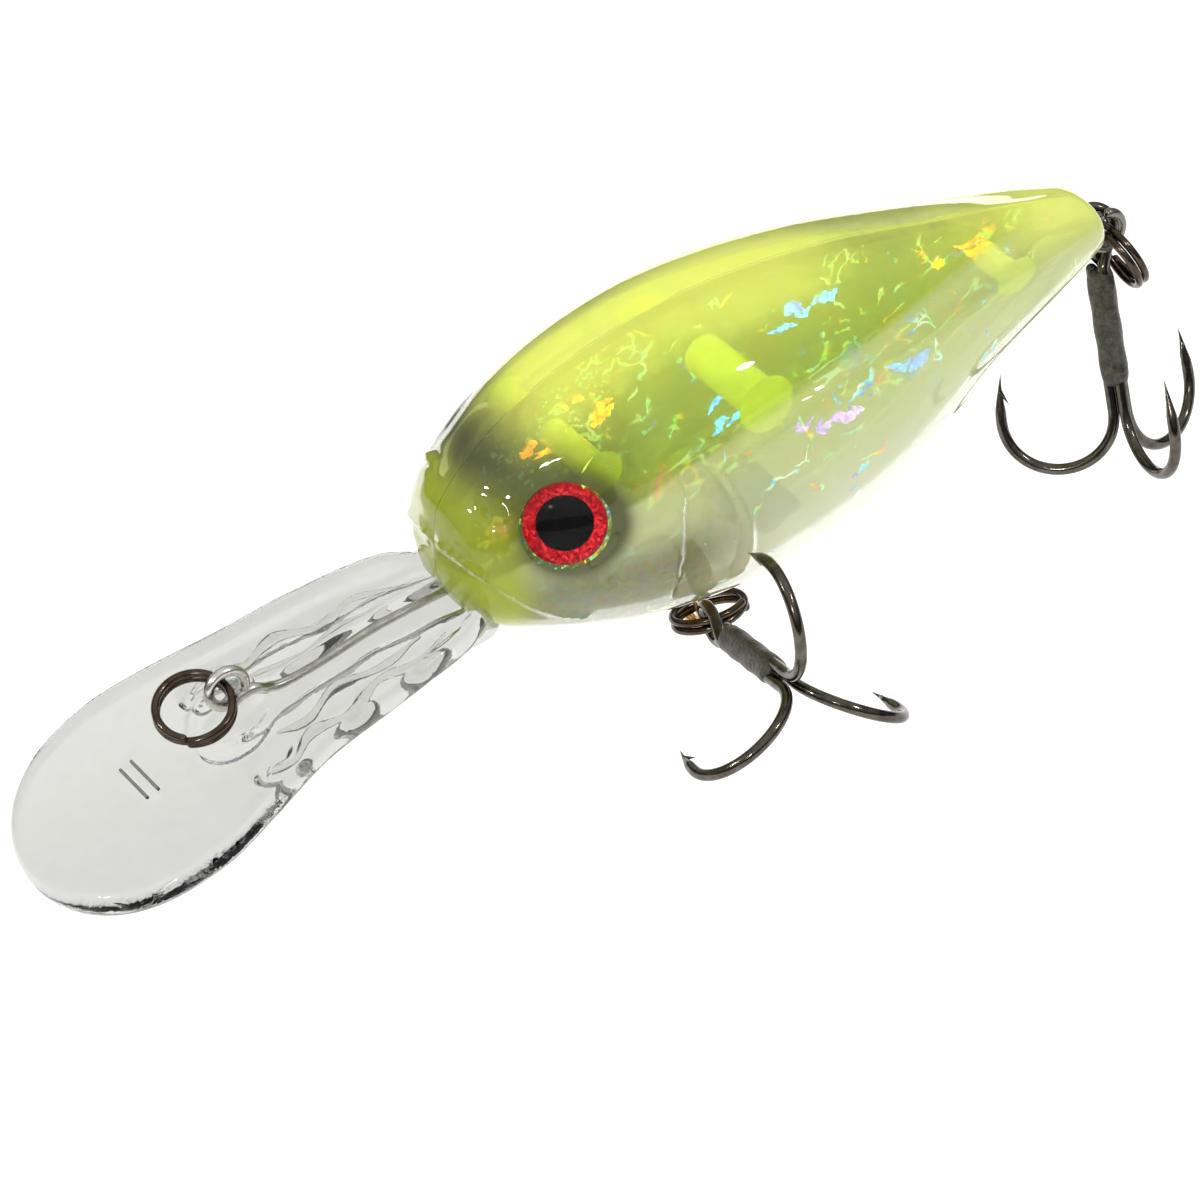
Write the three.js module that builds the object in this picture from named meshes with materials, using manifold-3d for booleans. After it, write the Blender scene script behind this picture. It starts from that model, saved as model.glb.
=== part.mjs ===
// Deep-diving crankbait lure: two clear shell halves, a moulded diving lip, an inner reflective film,
// ballast, wire hangers, split rings and two treble hooks. Units are millimetres, +Z is up.
// Inside the lure group X runs from the nose (0) to the tail, Y is 0 on the parting plane, and the left
// flank faces -Y. The whole group is then moved so that the line tie's eye sits on the origin.
import * as THREE from 'three';
import { mergeVertices } from 'three/addons/utils/BufferGeometryUtils.js';
import Module from 'manifold-3d';

const wasm = await Module();
wasm.setup();

// ---- driving dimensions ----
const BODY_LENGTH = 56;
const WALL = 1.4;                 // shell wall
const SEAM_GAP = 0.15;            // each half stops this far from the parting plane
const FIT_GAP = 0.3;              // clearance between a part and the pocket it sits in
const UPPER_ROUNDNESS = 2.35;     // superellipse exponent above the widest line
const LOWER_ROUNDNESS = 2.25;     // and below it
const WAIST = 0.537;              // height of the widest line, as a share of the section's height

const LINE_TIE = new THREE.Vector3(-17.1, 0, -1.6);
const BELLY_EYE = new THREE.Vector3(19.6, 0, -13.2);
const TAIL_EYE = new THREE.Vector3(57.5, 0, 1.9);

const HANGER_WIRE_R = 0.4;
const HANGER_LOOP_R = 1.4;
const RING_WIRE_R = 0.29;
const RING_R = 2.65;
const RING_PITCH = 0.63;

const EYE_CENTRE = new THREE.Vector3(6.6, -7.4, 4.6);
const EYE_NORMAL = new THREE.Vector3(-0.42, -0.85, 0.3).normalize();
const EYE_R = 2.95;
const EYE_SOCKET_DEPTH = 1.5;
const FOIL_THICKNESS = 0.3;
const DOME_HEIGHT = 1.0;

const HOOK_WIRE_R = 0.43;
const HOOK_SHANK = 13.9;          // from the eye's centre to the start of the bend
const HOOK_GAPE = 8.3;            // shank centre to point centre
const HOOK_POINT_RISE = 3.8;      // the point's tip above the start of the bend
const HOOK_SPREAD_R = 0.6;        // the three shanks stand this far from the treble's axis
const HOOK_EYE_R = 1.45;
const BRAZE_LENGTH = 9;
const BRAZE_R = 1.0;
const WIRE_GAP = 0.03;            // between a treble's shanks and its braze

const BELLY_RING_TILT = -20;      // degrees below horizontal; negative lifts it towards the flank
const TAIL_RING_TILT = 20;        // degrees aft of hanging straight down
const LINE_RING_TILT = 8;         // degrees below horizontal, forward of the eye
const LINE_RING_ROLL = 18;        // degrees, the near side lower

// x, back height, belly height, half width of the body's sections
const BODY_STATIONS = [
  [0, 3.3, -2.4, 2.6],
  [0.8, 5.0, -3.8, 4.5],
  [2.8, 7.1, -5.2, 6.2],
  [7.3, 10.0, -7.2, 8.0],
  [14, 12.3, -9.3, 9.6],
  [22.4, 13.2, -9.9, 10.3],
  [33.6, 12.0, -7.7, 9.3],
  [44.8, 9.2, -2.3, 6.3],
  [53.4, 6.7, 1.2, 3.7],
  [55.5, 5.9, 2.1, 2.9],
  [56, 5.1, 2.8, 2.1],
];

// x, upper face height, half width of the diving lip
const LIP_STATIONS = [
  [6, -1.6, 3.4],
  [1.5, -1.3, 4.4],
  [-1.5, -1.2, 6.2],
  [-8, -1.9, 7.4],
  [-14, -2.9, 8.1],
  [-19, -4.2, 9.4],
  [-23, -5.4, 10.2],
  [-27, -6.6, 9.9],
  [-30.5, -7.7, 8.0],
  [-32.8, -8.4, 5.2],
  [-33.8, -8.7, 2.2],
];
const LIP_THICKNESS = 1.9;

// where the locating pins cross the parting plane: x, z, outer radius
const PINS = [
  [10.3, 7.0, 1.1],
  [23.0, 7.6, 1.6],
  [47.0, 5.0, 1.0],
];

const BALLAST = { x: 24.7, z: -5.2, r: 2.1, length: 11 };

// the cavity's ends, measured from the nose and from the tail
const CAVITY_NOSE = 1.8;
const CAVITY_TAIL = 3.2;
const END_RADIUS = 0.2;           // no section shrinks below this

// solid lands on the parting plane that hold the hanger legs: x from, x to, z from, z to
const LAND_HALF_WIDTH = 1.6;
const LANDS = [
  [17, 23.4, -9, -5.9],
  [49.2, 54, 2.4, 5.6],
];

const FILM_THICKNESS = 0.32;
const FILM_MARGIN = 0.45;         // between the film's edge and the cavity wall

// places that the film leaves free for the hanger legs and the lip's root: x from, x to, z from, z to
const FILM_CUTOUTS = [
  [16.6, 23.8, -12, -5.5],
  [48.8, 58, 2, 6],
  [-1, 7.2, -5, -0.6],
];

// ---- materials ----
function material(color, roughness, metalness, opacity = 1) {
  return new THREE.MeshStandardMaterial({ color, roughness, metalness, opacity, transparent: opacity < 1 });
}
const clearBody = material(0xc9dc5a, 0.08, 0, 0.55);
const clearLip = material(0xe4e8df, 0.05, 0, 0.35);
const hologram = material(0xcfd8b0, 0.2, 0.9);
const blackNickel = material(0x2a2422, 0.22, 0.95);
const brazedSteel = material(0x55524c, 0.5, 0.8);
const brassWire = material(0xb08a3c, 0.3, 0.9);
const steelWire = material(0x9a9a98, 0.25, 0.95);
const lead = material(0x6e7270, 0.55, 0.6);
const irisFoil = material(0xb3121c, 0.3, 0.7);
const clearDome = material(0xffffff, 0.03, 0, 0.3);

// ---- geometry helpers ----
function solid(geometry) {
  const g = geometry.clone();
  g.deleteAttribute('normal');
  g.deleteAttribute('uv');
  const merged = mergeVertices(g, 1e-4);
  return new wasm.Manifold(new wasm.Mesh({
    numProp: 3,
    vertProperties: Float32Array.from(merged.attributes.position.array),
    triVerts: Uint32Array.from(merged.index.array),
  }));
}

function geometryOf(manifold) {
  const m = manifold.getMesh();
  const g = new THREE.BufferGeometry();
  g.setAttribute('position', new THREE.BufferAttribute(Float32Array.from(m.vertProperties), 3));
  g.setIndex(new THREE.BufferAttribute(Uint32Array.from(m.triVerts), 1));
  g.computeVertexNormals();
  return g;
}

function piece(name, shape, mat) {
  const geometry = shape.isBufferGeometry ? shape : geometryOf(shape);
  const mesh = new THREE.Mesh(geometry, mat);
  mesh.name = name;
  return mesh;
}

// A closed skin over rings of points that all have the same count, capped at both ends.
function loft(rings) {
  const n = rings[0].length;
  const points = rings.flat();
  const index = [];
  for (let i = 0; i + 1 < rings.length; i++) {
    for (let j = 0; j < n; j++) {
      const k = (j + 1) % n;
      const a = i * n + j;
      const b = i * n + k;
      index.push(a, b, a + n, b, b + n, a + n);
    }
  }
  for (const [ring, first, flip] of [[rings[0], 0, true], [rings.at(-1), points.length - n, false]]) {
    const centre = ring.reduce((s, p) => s.add(p), new THREE.Vector3()).divideScalar(n);
    const c = points.push(centre) - 1;
    for (let j = 0; j < n; j++) {
      const a = first + j;
      const b = first + (j + 1) % n;
      index.push(...(flip ? [c, b, a] : [c, a, b]));
    }
  }
  const g = new THREE.BufferGeometry().setFromPoints(points);
  g.setIndex(index);
  return g;
}

function tube(curve, radius, steps, sides = 8) {
  const circle = new THREE.Shape();
  circle.setFromPoints(Array.from({ length: sides }, (_, i) => {
    const a = (2 * Math.PI * i) / sides;
    return new THREE.Vector2(radius * Math.cos(a), radius * Math.sin(a));
  }));
  return new THREE.ExtrudeGeometry(circle, { steps, extrudePath: curve, bevelEnabled: false });
}

// A cylinder from one point along a direction.
function rod(from, direction, length, radius, sides = 20, tipRadius = radius) {
  const g = new THREE.CylinderGeometry(tipRadius, radius, length, sides);
  g.translate(0, length / 2, 0);
  g.applyQuaternion(new THREE.Quaternion().setFromUnitVectors(
    new THREE.Vector3(0, 1, 0), direction.clone().normalize()));
  g.translate(from.x, from.y, from.z);
  return g;
}

function block(x0, x1, y0, y1, z0, z1) {
  const g = new THREE.BoxGeometry(x1 - x0, y1 - y0, z1 - z0);
  g.translate((x0 + x1) / 2, (y0 + y1) / 2, (z0 + z1) / 2);
  return g;
}

function spline(points) {
  return new THREE.CatmullRomCurve3(points.map((p) => new THREE.Vector3(...p)), false, 'centripetal');
}

// ---- body shape ----
const bodyAt = new THREE.CubicInterpolant(
  BODY_STATIONS.map((s) => s[0]), BODY_STATIONS.flatMap((s) => s.slice(1)), 3);

function bodySection(x, inset, sides) {
  const [top, bottom, half] = Array.from(bodyAt.evaluate(x));
  const waist = bottom + WAIST * (top - bottom);
  const ring = [];
  for (let i = 0; i < sides; i++) {
    const a = (2 * Math.PI * i) / sides;
    const c = Math.cos(a);
    const s = Math.sin(a);
    const power = 2 / (s >= 0 ? UPPER_ROUNDNESS : LOWER_ROUNDNESS);
    const rise = Math.max((s >= 0 ? top - waist : waist - bottom) - inset, END_RADIUS);
    const y = Math.sign(c) * Math.max(half - inset, END_RADIUS) * Math.abs(c) ** power;
    ring.push(new THREE.Vector3(x, y, waist + Math.sign(s) * rise * Math.abs(s) ** power));
  }
  return ring;
}

function bodyLoft(from, to, inset, stations, sides) {
  const rings = [];
  for (let i = 0; i <= stations; i++) {
    const t = (1 - Math.cos((Math.PI * i) / stations)) / 2;
    rings.push(bodySection(from + t * (to - from), inset, sides));
  }
  return solid(loft(rings));
}

// ---- diving lip ----
// grow enlarges the section on every side, for the slot that the lip's root sits in
function lipSection([x, top, half], grow) {
  const edge = LIP_THICKNESS * 0.32;
  const w = half + grow;
  const up = grow;
  const down = -LIP_THICKNESS - grow;
  const outline = [
    [w - edge, up], [w, up - edge], [w, down + edge], [w - edge, down],
    [0, down - 0.5],
    [-w + edge, down], [-w, down + edge], [-w, up - edge], [-w + edge, up],
    [0, up - 0.25],
  ];
  return outline.map(([y, z]) => new THREE.Vector3(x, y, top + z));
}

function lipPlate(grow) {
  const xs = LIP_STATIONS.map((s) => -s[0]);
  const at = new THREE.CubicInterpolant(xs, LIP_STATIONS.flatMap((s) => s.slice(1)), 2);
  const rings = [];
  const count = 24;
  const root = xs[0] - grow;
  for (let i = 0; i <= count; i++) {
    const t = Math.sin((Math.PI / 2) * (i / count));
    const u = root + t * (xs.at(-1) - root);
    const [top, half] = Array.from(at.evaluate(Math.max(u, xs[0])));
    rings.push(lipSection([-u, top, half], grow));
  }
  return solid(loft(rings));
}

// A low boss carries the line tie's wire, and two ribs stiffen the neck.
function lipShape(grow) {
  const boss = tube(spline([
    [LINE_TIE.x + 1.2, 0, LINE_TIE.z - 3.2],
    [-12, 0, -3.1],
    [-5, 0, -2.3],
    [2, 0, -2.2],
  ]), 1.5 + grow, 12);
  let shape = lipPlate(grow).add(solid(boss));
  for (const side of [-1, 1]) {
    const rib = tube(spline([
      [1, side * 3.4, -2.9],
      [-6, side * 4.6, -3.4],
      [-13, side * 5.4, -4.5],
      [-17, side * 6.2, -5.6],
    ]), 0.8 + grow, 8, 6);
    shape = shape.add(solid(rib));
  }
  return shape;
}

// The line tie's wire: an eye standing over the lip, and a leg that runs back inside the lip.
function lineTieLeg() {
  return spline([
    [LINE_TIE.x + 0.9, 0, LINE_TIE.z - 1.1],
    [LINE_TIE.x + 2.6, 0, LINE_TIE.z - 2.0],
    [-11, 0, -3.4],
    [-5, 0, -2.5],
    [4.5, 0, -2.3],
  ]);
}

function wireEye(centre, holeAxis) {
  const g = new THREE.TorusGeometry(HANGER_LOOP_R, HANGER_WIRE_R, 8, 24);
  g.applyQuaternion(new THREE.Quaternion().setFromUnitVectors(new THREE.Vector3(0, 0, 1), holeAxis));
  g.translate(centre.x, centre.y, centre.z);
  return solid(g);
}

const AXIS_X = new THREE.Vector3(1, 0, 0);
const AXIS_Y = new THREE.Vector3(0, 1, 0);

const lineTieWire = wireEye(LINE_TIE, AXIS_Y).add(solid(tube(lineTieLeg(), HANGER_WIRE_R, 18)));
const lineTiePocket = solid(tube(lineTieLeg(), HANGER_WIRE_R + FIT_GAP, 18));
const lineTieClearance = solid(rod(
  new THREE.Vector3(LINE_TIE.x, -1.1, LINE_TIE.z), AXIS_Y, 2.2, HANGER_LOOP_R + HANGER_WIRE_R + FIT_GAP, 24));

const depthMark = solid(block(-25.15, -24.25, -1.9, 1.9, -6.4, -5.5));
const lip = lipShape(0).add(depthMark).subtract(lineTiePocket).subtract(lineTieClearance);

// ---- hangers ----
const bellyHangerLeg = spline([
  [BELLY_EYE.x, 0, BELLY_EYE.z + HANGER_LOOP_R - 0.1],
  [BELLY_EYE.x, 0, -8.6],
  [BELLY_EYE.x + 0.6, 0, -7.4],
  [BELLY_EYE.x + 2.2, 0, -7.0],
]);
const tailHangerLeg = spline([
  [TAIL_EYE.x - 0.5, 0, TAIL_EYE.z + HANGER_LOOP_R - 0.1],
  [55.4, 0, 3.9],
  [51.5, 0, 4.4],
  [50.4, 0, 3.6],
]);
const bellyHanger = wireEye(BELLY_EYE, AXIS_X).add(solid(tube(bellyHangerLeg, HANGER_WIRE_R, 10)));
const tailHanger = wireEye(TAIL_EYE, AXIS_Y).add(solid(tube(tailHangerLeg, HANGER_WIRE_R, 10)));
const legPockets = [bellyHangerLeg, tailHangerLeg].map((leg) => solid(tube(leg, HANGER_WIRE_R + FIT_GAP, 10)));

// ---- shells ----
const SIDES = 32;
const outer = bodyLoft(0, BODY_LENGTH, 0, 20, SIDES);
const cavity = bodyLoft(CAVITY_NOSE, BODY_LENGTH - CAVITY_TAIL, WALL, 14, SIDES);
const slab = (y0, y1) => solid(block(-60, 80, y0, y1, -40, 40));
const lipSlot = lipShape(FIT_GAP);

function eyeFrame(side) {
  const mirror = new THREE.Vector3(1, -side, 1);
  return { centre: EYE_CENTRE.clone().multiply(mirror), normal: EYE_NORMAL.clone().multiply(mirror) };
}

function eyeRod(side, from, to, radius) {
  const { centre, normal } = eyeFrame(side);
  return solid(rod(centre.clone().addScaledVector(normal, from), normal, to - from, radius, 28));
}

// side is -1 for the left half and +1 for the right half
function shell(side) {
  const seat = eyeRod(side, -EYE_SOCKET_DEPTH - WALL, 1.5, EYE_R + 1.3);
  const socket = eyeRod(side, -EYE_SOCKET_DEPTH, 3, EYE_R + FIT_GAP);
  let hollow = cavity.subtract(seat);
  for (const [x, z, r] of PINS) {
    const post = solid(rod(new THREE.Vector3(x, 0, z), new THREE.Vector3(0, side, 0), 12, r, 16));
    hollow = hollow.subtract(post);
  }
  for (const [x0, x1, z0, z1] of LANDS) {
    hollow = hollow.subtract(solid(block(x0, x1, -LAND_HALF_WIDTH, LAND_HALF_WIDTH, z0, z1)));
  }
  const sideOnly = side < 0 ? slab(-40, -SEAM_GAP) : slab(SEAM_GAP, 40);
  let half = outer.subtract(hollow).subtract(socket).subtract(lipSlot).intersect(sideOnly);
  for (const pocket of legPockets) half = half.subtract(pocket);
  for (const [x, z, r] of PINS) {
    const into = new THREE.Vector3(0, -1, 0);
    if (side < 0) {
      half = half.subtract(solid(rod(new THREE.Vector3(x, 0, z), into, 3, r * 0.5 + FIT_GAP, 16)));
    } else {
      half = half.add(solid(rod(new THREE.Vector3(x, 1, z), into, 3, r * 0.5, 12)));
    }
  }
  return half.subtract(ballastPocket);
}

const ballastAt = new THREE.Vector3(BALLAST.x, -BALLAST.length / 2, BALLAST.z);
const ballast = rod(ballastAt, AXIS_Y, BALLAST.length, BALLAST.r, 28);
const ballastPocket = solid(rod(
  new THREE.Vector3(BALLAST.x, -BALLAST.length / 2 - FIT_GAP, BALLAST.z), AXIS_Y,
  BALLAST.length + 2 * FIT_GAP, BALLAST.r + FIT_GAP, 28));

// ---- inner film: a thin reflective sheet on the parting plane, cut to clear pins, ballast and hangers ----
function innerFilm() {
  const outline = bodyLoft(CAVITY_NOSE + WALL, BODY_LENGTH - CAVITY_TAIL - WALL, WALL + FILM_MARGIN, 16, SIDES);
  let film = outline.intersect(slab(-FILM_THICKNESS / 2, FILM_THICKNESS / 2));
  for (const [x, z, r] of PINS) {
    film = film.subtract(solid(rod(new THREE.Vector3(x, -3, z), AXIS_Y, 6, r + FIT_GAP, 16)));
  }
  for (const [x0, x1, z0, z1] of FILM_CUTOUTS) {
    film = film.subtract(solid(block(x0, x1, -2, 2, z0, z1)));
  }
  return film.subtract(ballastPocket);
}

// ---- eyes ----
function eyeFoil(side) {
  const floor = -EYE_SOCKET_DEPTH + 0.15;
  return eyeRod(side, floor, floor + FOIL_THICKNESS, EYE_R);
}

function eyeDome(side) {
  const base = -EYE_SOCKET_DEPTH + 0.15 + FOIL_THICKNESS + 0.12;
  const wall = 0.55;
  const profile = [new THREE.Vector2(0, base), new THREE.Vector2(EYE_R, base)];
  const steps = 8;
  for (let i = 0; i <= steps; i++) {
    const a = (Math.PI / 2) * (i / steps);
    profile.push(new THREE.Vector2(EYE_R * Math.cos(a), base + wall + DOME_HEIGHT * Math.sin(a)));
  }
  profile[profile.length - 1].x = 0;
  const g = new THREE.LatheGeometry(profile, 28);
  const { centre, normal } = eyeFrame(side);
  g.applyQuaternion(new THREE.Quaternion().setFromUnitVectors(AXIS_Y, normal));
  g.translate(centre.x, centre.y, centre.z);
  return solid(g);
}

// ---- split rings: two turns of wire side by side ----
class RingCurve extends THREE.Curve {
  getPoint(t, target = new THREE.Vector3()) {
    const a = 4 * Math.PI * t * 0.985;
    const lift = RING_PITCH * Math.min(Math.max((t - 0.4) / 0.2, 0), 1) - RING_PITCH / 2;
    return target.set(RING_R * Math.cos(a), RING_R * Math.sin(a), lift);
  }
}

// outward: from the eye it hangs on towards the ring's centre; normal: across the coils
function splitRing(eye, outward, normal) {
  const side = new THREE.Vector3().crossVectors(normal, outward);
  const centre = eye.clone().addScaledVector(outward, RING_R);
  const g = tube(new RingCurve(), RING_WIRE_R, 44, 6);
  g.rotateZ(0.9);
  g.applyMatrix4(new THREE.Matrix4().makeBasis(outward, side, normal).setPosition(centre));
  return { shape: solid(g), centre, outward, side, normal };
}

function pointOnRing(ring, degrees) {
  const a = THREE.MathUtils.degToRad(degrees);
  return ring.centre.clone()
    .addScaledVector(ring.outward, RING_R * Math.cos(a))
    .addScaledVector(ring.side, RING_R * Math.sin(a));
}

function direction(x, y, z) {
  return new THREE.Vector3(x, y, z).normalize();
}

const rad = THREE.MathUtils.degToRad;
const lineRing = splitRing(
  LINE_TIE,
  direction(-Math.cos(rad(LINE_RING_TILT)), 0, -Math.sin(rad(LINE_RING_TILT))),
  direction(-Math.sin(rad(LINE_RING_TILT)), 0, Math.cos(rad(LINE_RING_TILT)))
    .applyAxisAngle(AXIS_X, rad(LINE_RING_ROLL)));
const bellyRing = splitRing(
  BELLY_EYE,
  direction(0, -Math.cos(rad(BELLY_RING_TILT)), -Math.sin(rad(BELLY_RING_TILT))),
  direction(0, -Math.sin(rad(BELLY_RING_TILT)), Math.cos(rad(BELLY_RING_TILT))));
const tailRing = splitRing(
  TAIL_EYE,
  direction(Math.sin(rad(TAIL_RING_TILT)), 0, -Math.cos(rad(TAIL_RING_TILT))),
  direction(Math.cos(rad(TAIL_RING_TILT)), 0, Math.sin(rad(TAIL_RING_TILT))));

// ---- treble hooks: the eye is at the origin and the shank runs along -Z ----
class HookCurve extends THREE.CurvePath {
  constructor() {
    super();
    const r = HOOK_GAPE / 2;
    const bendX = HOOK_SPREAD_R + r;
    const v = (x, z) => new THREE.Vector3(x, 0, z);
    this.add(new THREE.LineCurve3(v(HOOK_SPREAD_R, -HOOK_EYE_R), v(HOOK_SPREAD_R, -HOOK_SHANK)));
    const arc = [];
    for (let i = 0; i <= 12; i++) {
      const a = (Math.PI * i) / 12;
      arc.push(v(bendX - r * Math.cos(a), -HOOK_SHANK - r * Math.sin(a)));
    }
    this.add(new THREE.CatmullRomCurve3(arc));
    this.add(new THREE.LineCurve3(arc.at(-1), v(HOOK_SPREAD_R + HOOK_GAPE - 0.2, -HOOK_SHANK + 0.8)));
  }
}

function singleHook(angle) {
  let hook = solid(tube(new HookCurve(), HOOK_WIRE_R, 30, 7));
  const start = new THREE.Vector3(HOOK_SPREAD_R + HOOK_GAPE - 0.16, 0, -HOOK_SHANK + 0.55);
  const tip = new THREE.Vector3(HOOK_SPREAD_R + HOOK_GAPE - 0.45, 0, -HOOK_SHANK + HOOK_POINT_RISE);
  const along = tip.clone().sub(start);
  hook = hook.add(solid(rod(start, along, along.length(), HOOK_WIRE_R * 0.99, 8, 0.03)));
  const barbRoot = start.clone().addScaledVector(along.clone().normalize(), 1.7);
  const barb = rod(barbRoot, direction(-0.42, 0, -1), 1.25, 0.2, 6, 0.03);
  return hook.add(solid(barb)).rotate([0, 0, angle]);
}

// The eye's hole axis lies at holeAngle; hooks stand at 0 and 120 degrees either side of it. One wire
// makes the eye and two hooks; the single hook and the braze that fills between the shanks are added.
function treble(holeAngle) {
  const eye = new THREE.TorusGeometry(HOOK_EYE_R, HOOK_WIRE_R * 0.9, 8, 22);
  eye.rotateY(Math.PI / 2);
  eye.rotateZ(rad(holeAngle));
  const double = singleHook(120).add(singleHook(-120)).add(solid(eye));
  const belowEye = solid(block(-20, 20, -20, 20, -40, -HOOK_EYE_R - 1.2));
  const single = singleHook(0).intersect(belowEye);
  const brazeFrom = new THREE.Vector3(0, 0, -HOOK_EYE_R - 1.6);
  let braze = solid(rod(brazeFrom, direction(0, 0, -1), BRAZE_LENGTH, BRAZE_R, 24, BRAZE_R * 0.95));
  for (const turn of [0, 120, -120]) {
    const from = new THREE.Vector3(HOOK_SPREAD_R * Math.cos(rad(turn)), HOOK_SPREAD_R * Math.sin(rad(turn)), 0);
    const shank = rod(from, direction(0, 0, -1), HOOK_SHANK, HOOK_WIRE_R + WIRE_GAP, 14);
    braze = braze.subtract(solid(shank));
  }
  return { double, single, braze };
}

// Turns a treble so that its shank and its first hook point along given directions.
function placeTreble(group, at, shank, firstHook) {
  const z = shank.clone().negate();
  const x = firstHook.clone().addScaledVector(z, -firstHook.dot(z)).normalize();
  const y = new THREE.Vector3().crossVectors(z, x);
  group.setRotationFromMatrix(new THREE.Matrix4().makeBasis(x, y, z));
  group.position.copy(at);
}

function holeAngleFor(shank, firstHook, tangent) {
  const z = shank.clone().negate();
  const x = firstHook.clone().addScaledVector(z, -firstHook.dot(z)).normalize();
  const y = new THREE.Vector3().crossVectors(z, x);
  return THREE.MathUtils.radToDeg(Math.atan2(tangent.dot(y), tangent.dot(x)));
}

function ringTangent(ring, degrees) {
  const a = rad(degrees);
  return new THREE.Vector3()
    .addScaledVector(ring.outward, -Math.sin(a))
    .addScaledVector(ring.side, Math.cos(a));
}

function trebleGroup(prefix, ring, ringAngle, shank, firstHook) {
  const at = pointOnRing(ring, ringAngle);
  const tangent = ringTangent(ring, ringAngle);
  const { double, single, braze } = treble(holeAngleFor(shank, firstHook, tangent));
  const group = new THREE.Group();
  group.add(piece(`${prefix}_treble_double`, double, blackNickel));
  group.add(piece(`${prefix}_treble_single`, single, blackNickel));
  group.add(piece(`${prefix}_treble_braze`, braze, brazedSteel));
  placeTreble(group, at, shank, firstHook);
  return group;
}

// ---- assembly ----
const lure = new THREE.Group();
lure.add(piece('left_shell', shell(-1), clearBody));
lure.add(piece('right_shell', shell(1), clearBody));
lure.add(piece('diving_lip', lip, clearLip));
lure.add(piece('inner_film', innerFilm(), hologram));
lure.add(piece('ballast_weight', ballast, lead));
lure.add(piece('line_tie_wire', lineTieWire, steelWire));
lure.add(piece('belly_hanger', bellyHanger, brassWire));
lure.add(piece('tail_hanger', tailHanger, steelWire));
for (const [side, word] of [[-1, 'left'], [1, 'right']]) {
  lure.add(piece(`${word}_eye_foil`, eyeFoil(side), irisFoil));
  lure.add(piece(`${word}_eye_dome`, eyeDome(side), clearDome));
}
lure.add(piece('line_tie_ring', lineRing.shape, blackNickel));
lure.add(piece('belly_ring', bellyRing.shape, blackNickel));
lure.add(piece('tail_ring', tailRing.shape, blackNickel));
lure.add(trebleGroup('belly', bellyRing, -25, direction(-0.145, -0.948, 0.284), direction(0.101, 0.271, 0.957)));
lure.add(trebleGroup('tail', tailRing, 130, direction(-0.137, -0.345, -0.929), direction(-0.787, 0.607, -0.11)));
lure.position.set(-LINE_TIE.x, 0, -LINE_TIE.z);

const group = new THREE.Group();
group.add(lure);
export default group;
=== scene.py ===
"""Deep-diving crankbait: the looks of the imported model.

Shapes are worked out in lure millimetres: X runs from the nose (0) to the tail, Y is 0 on the parting
plane, the left flank is at -Y, and Z points to the back. place() turns them into the frame's metres.
"""
import math

import bpy
import numpy as np
from mathutils import Matrix, Vector


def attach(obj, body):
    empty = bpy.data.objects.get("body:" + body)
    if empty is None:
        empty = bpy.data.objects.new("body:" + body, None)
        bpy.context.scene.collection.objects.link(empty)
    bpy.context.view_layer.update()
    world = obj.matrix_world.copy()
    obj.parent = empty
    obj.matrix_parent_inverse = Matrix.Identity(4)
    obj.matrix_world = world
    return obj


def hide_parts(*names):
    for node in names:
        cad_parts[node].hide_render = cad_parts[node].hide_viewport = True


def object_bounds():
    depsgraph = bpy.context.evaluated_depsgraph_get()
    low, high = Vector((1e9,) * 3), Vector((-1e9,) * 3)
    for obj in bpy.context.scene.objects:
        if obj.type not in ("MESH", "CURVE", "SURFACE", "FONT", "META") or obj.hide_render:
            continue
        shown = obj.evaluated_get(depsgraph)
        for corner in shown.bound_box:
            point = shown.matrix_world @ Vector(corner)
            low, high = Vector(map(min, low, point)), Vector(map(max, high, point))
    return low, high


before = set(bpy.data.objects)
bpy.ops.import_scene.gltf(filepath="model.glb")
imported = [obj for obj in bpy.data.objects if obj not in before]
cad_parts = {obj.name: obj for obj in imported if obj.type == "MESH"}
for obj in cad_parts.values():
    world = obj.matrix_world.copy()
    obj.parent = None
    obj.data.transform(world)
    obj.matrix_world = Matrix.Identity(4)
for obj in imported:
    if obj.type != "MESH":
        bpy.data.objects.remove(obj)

CAD_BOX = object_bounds()

# ---- driving dimensions, in lure millimetres ----
MM = 0.001
LINE_TIE = np.array([-17.1, 0.0, -1.6])      # the frame's origin
BELLY_EYE = np.array([19.6, 0.0, -13.2])
TAIL_EYE = np.array([57.5, 0.0, 1.9])
BODY_LENGTH = 56.0
WALL = 1.4
SEAM = 0.02
WAIST = 0.537
UPPER_ROUNDNESS = 2.35
LOWER_ROUNDNESS = 2.25
NOSE_ROUNDING = 0.9
TAIL_ROUNDING = 0.7

# x, back height, belly height, half width
BODY_STATIONS = [
    [0, 3.3, -2.4, 2.6],
    [0.8, 5.0, -3.8, 4.5],
    [2.8, 7.1, -5.2, 6.2],
    [7.3, 10.0, -7.2, 8.0],
    [14, 12.3, -9.3, 9.6],
    [22.4, 13.2, -9.9, 10.3],
    [33.6, 12.0, -7.7, 9.3],
    [44.8, 9.2, -2.3, 6.3],
    [53.4, 6.7, 1.2, 3.7],
    [55.5, 5.9, 2.1, 2.9],
    [56, 5.1, 2.8, 2.1],
]

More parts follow.
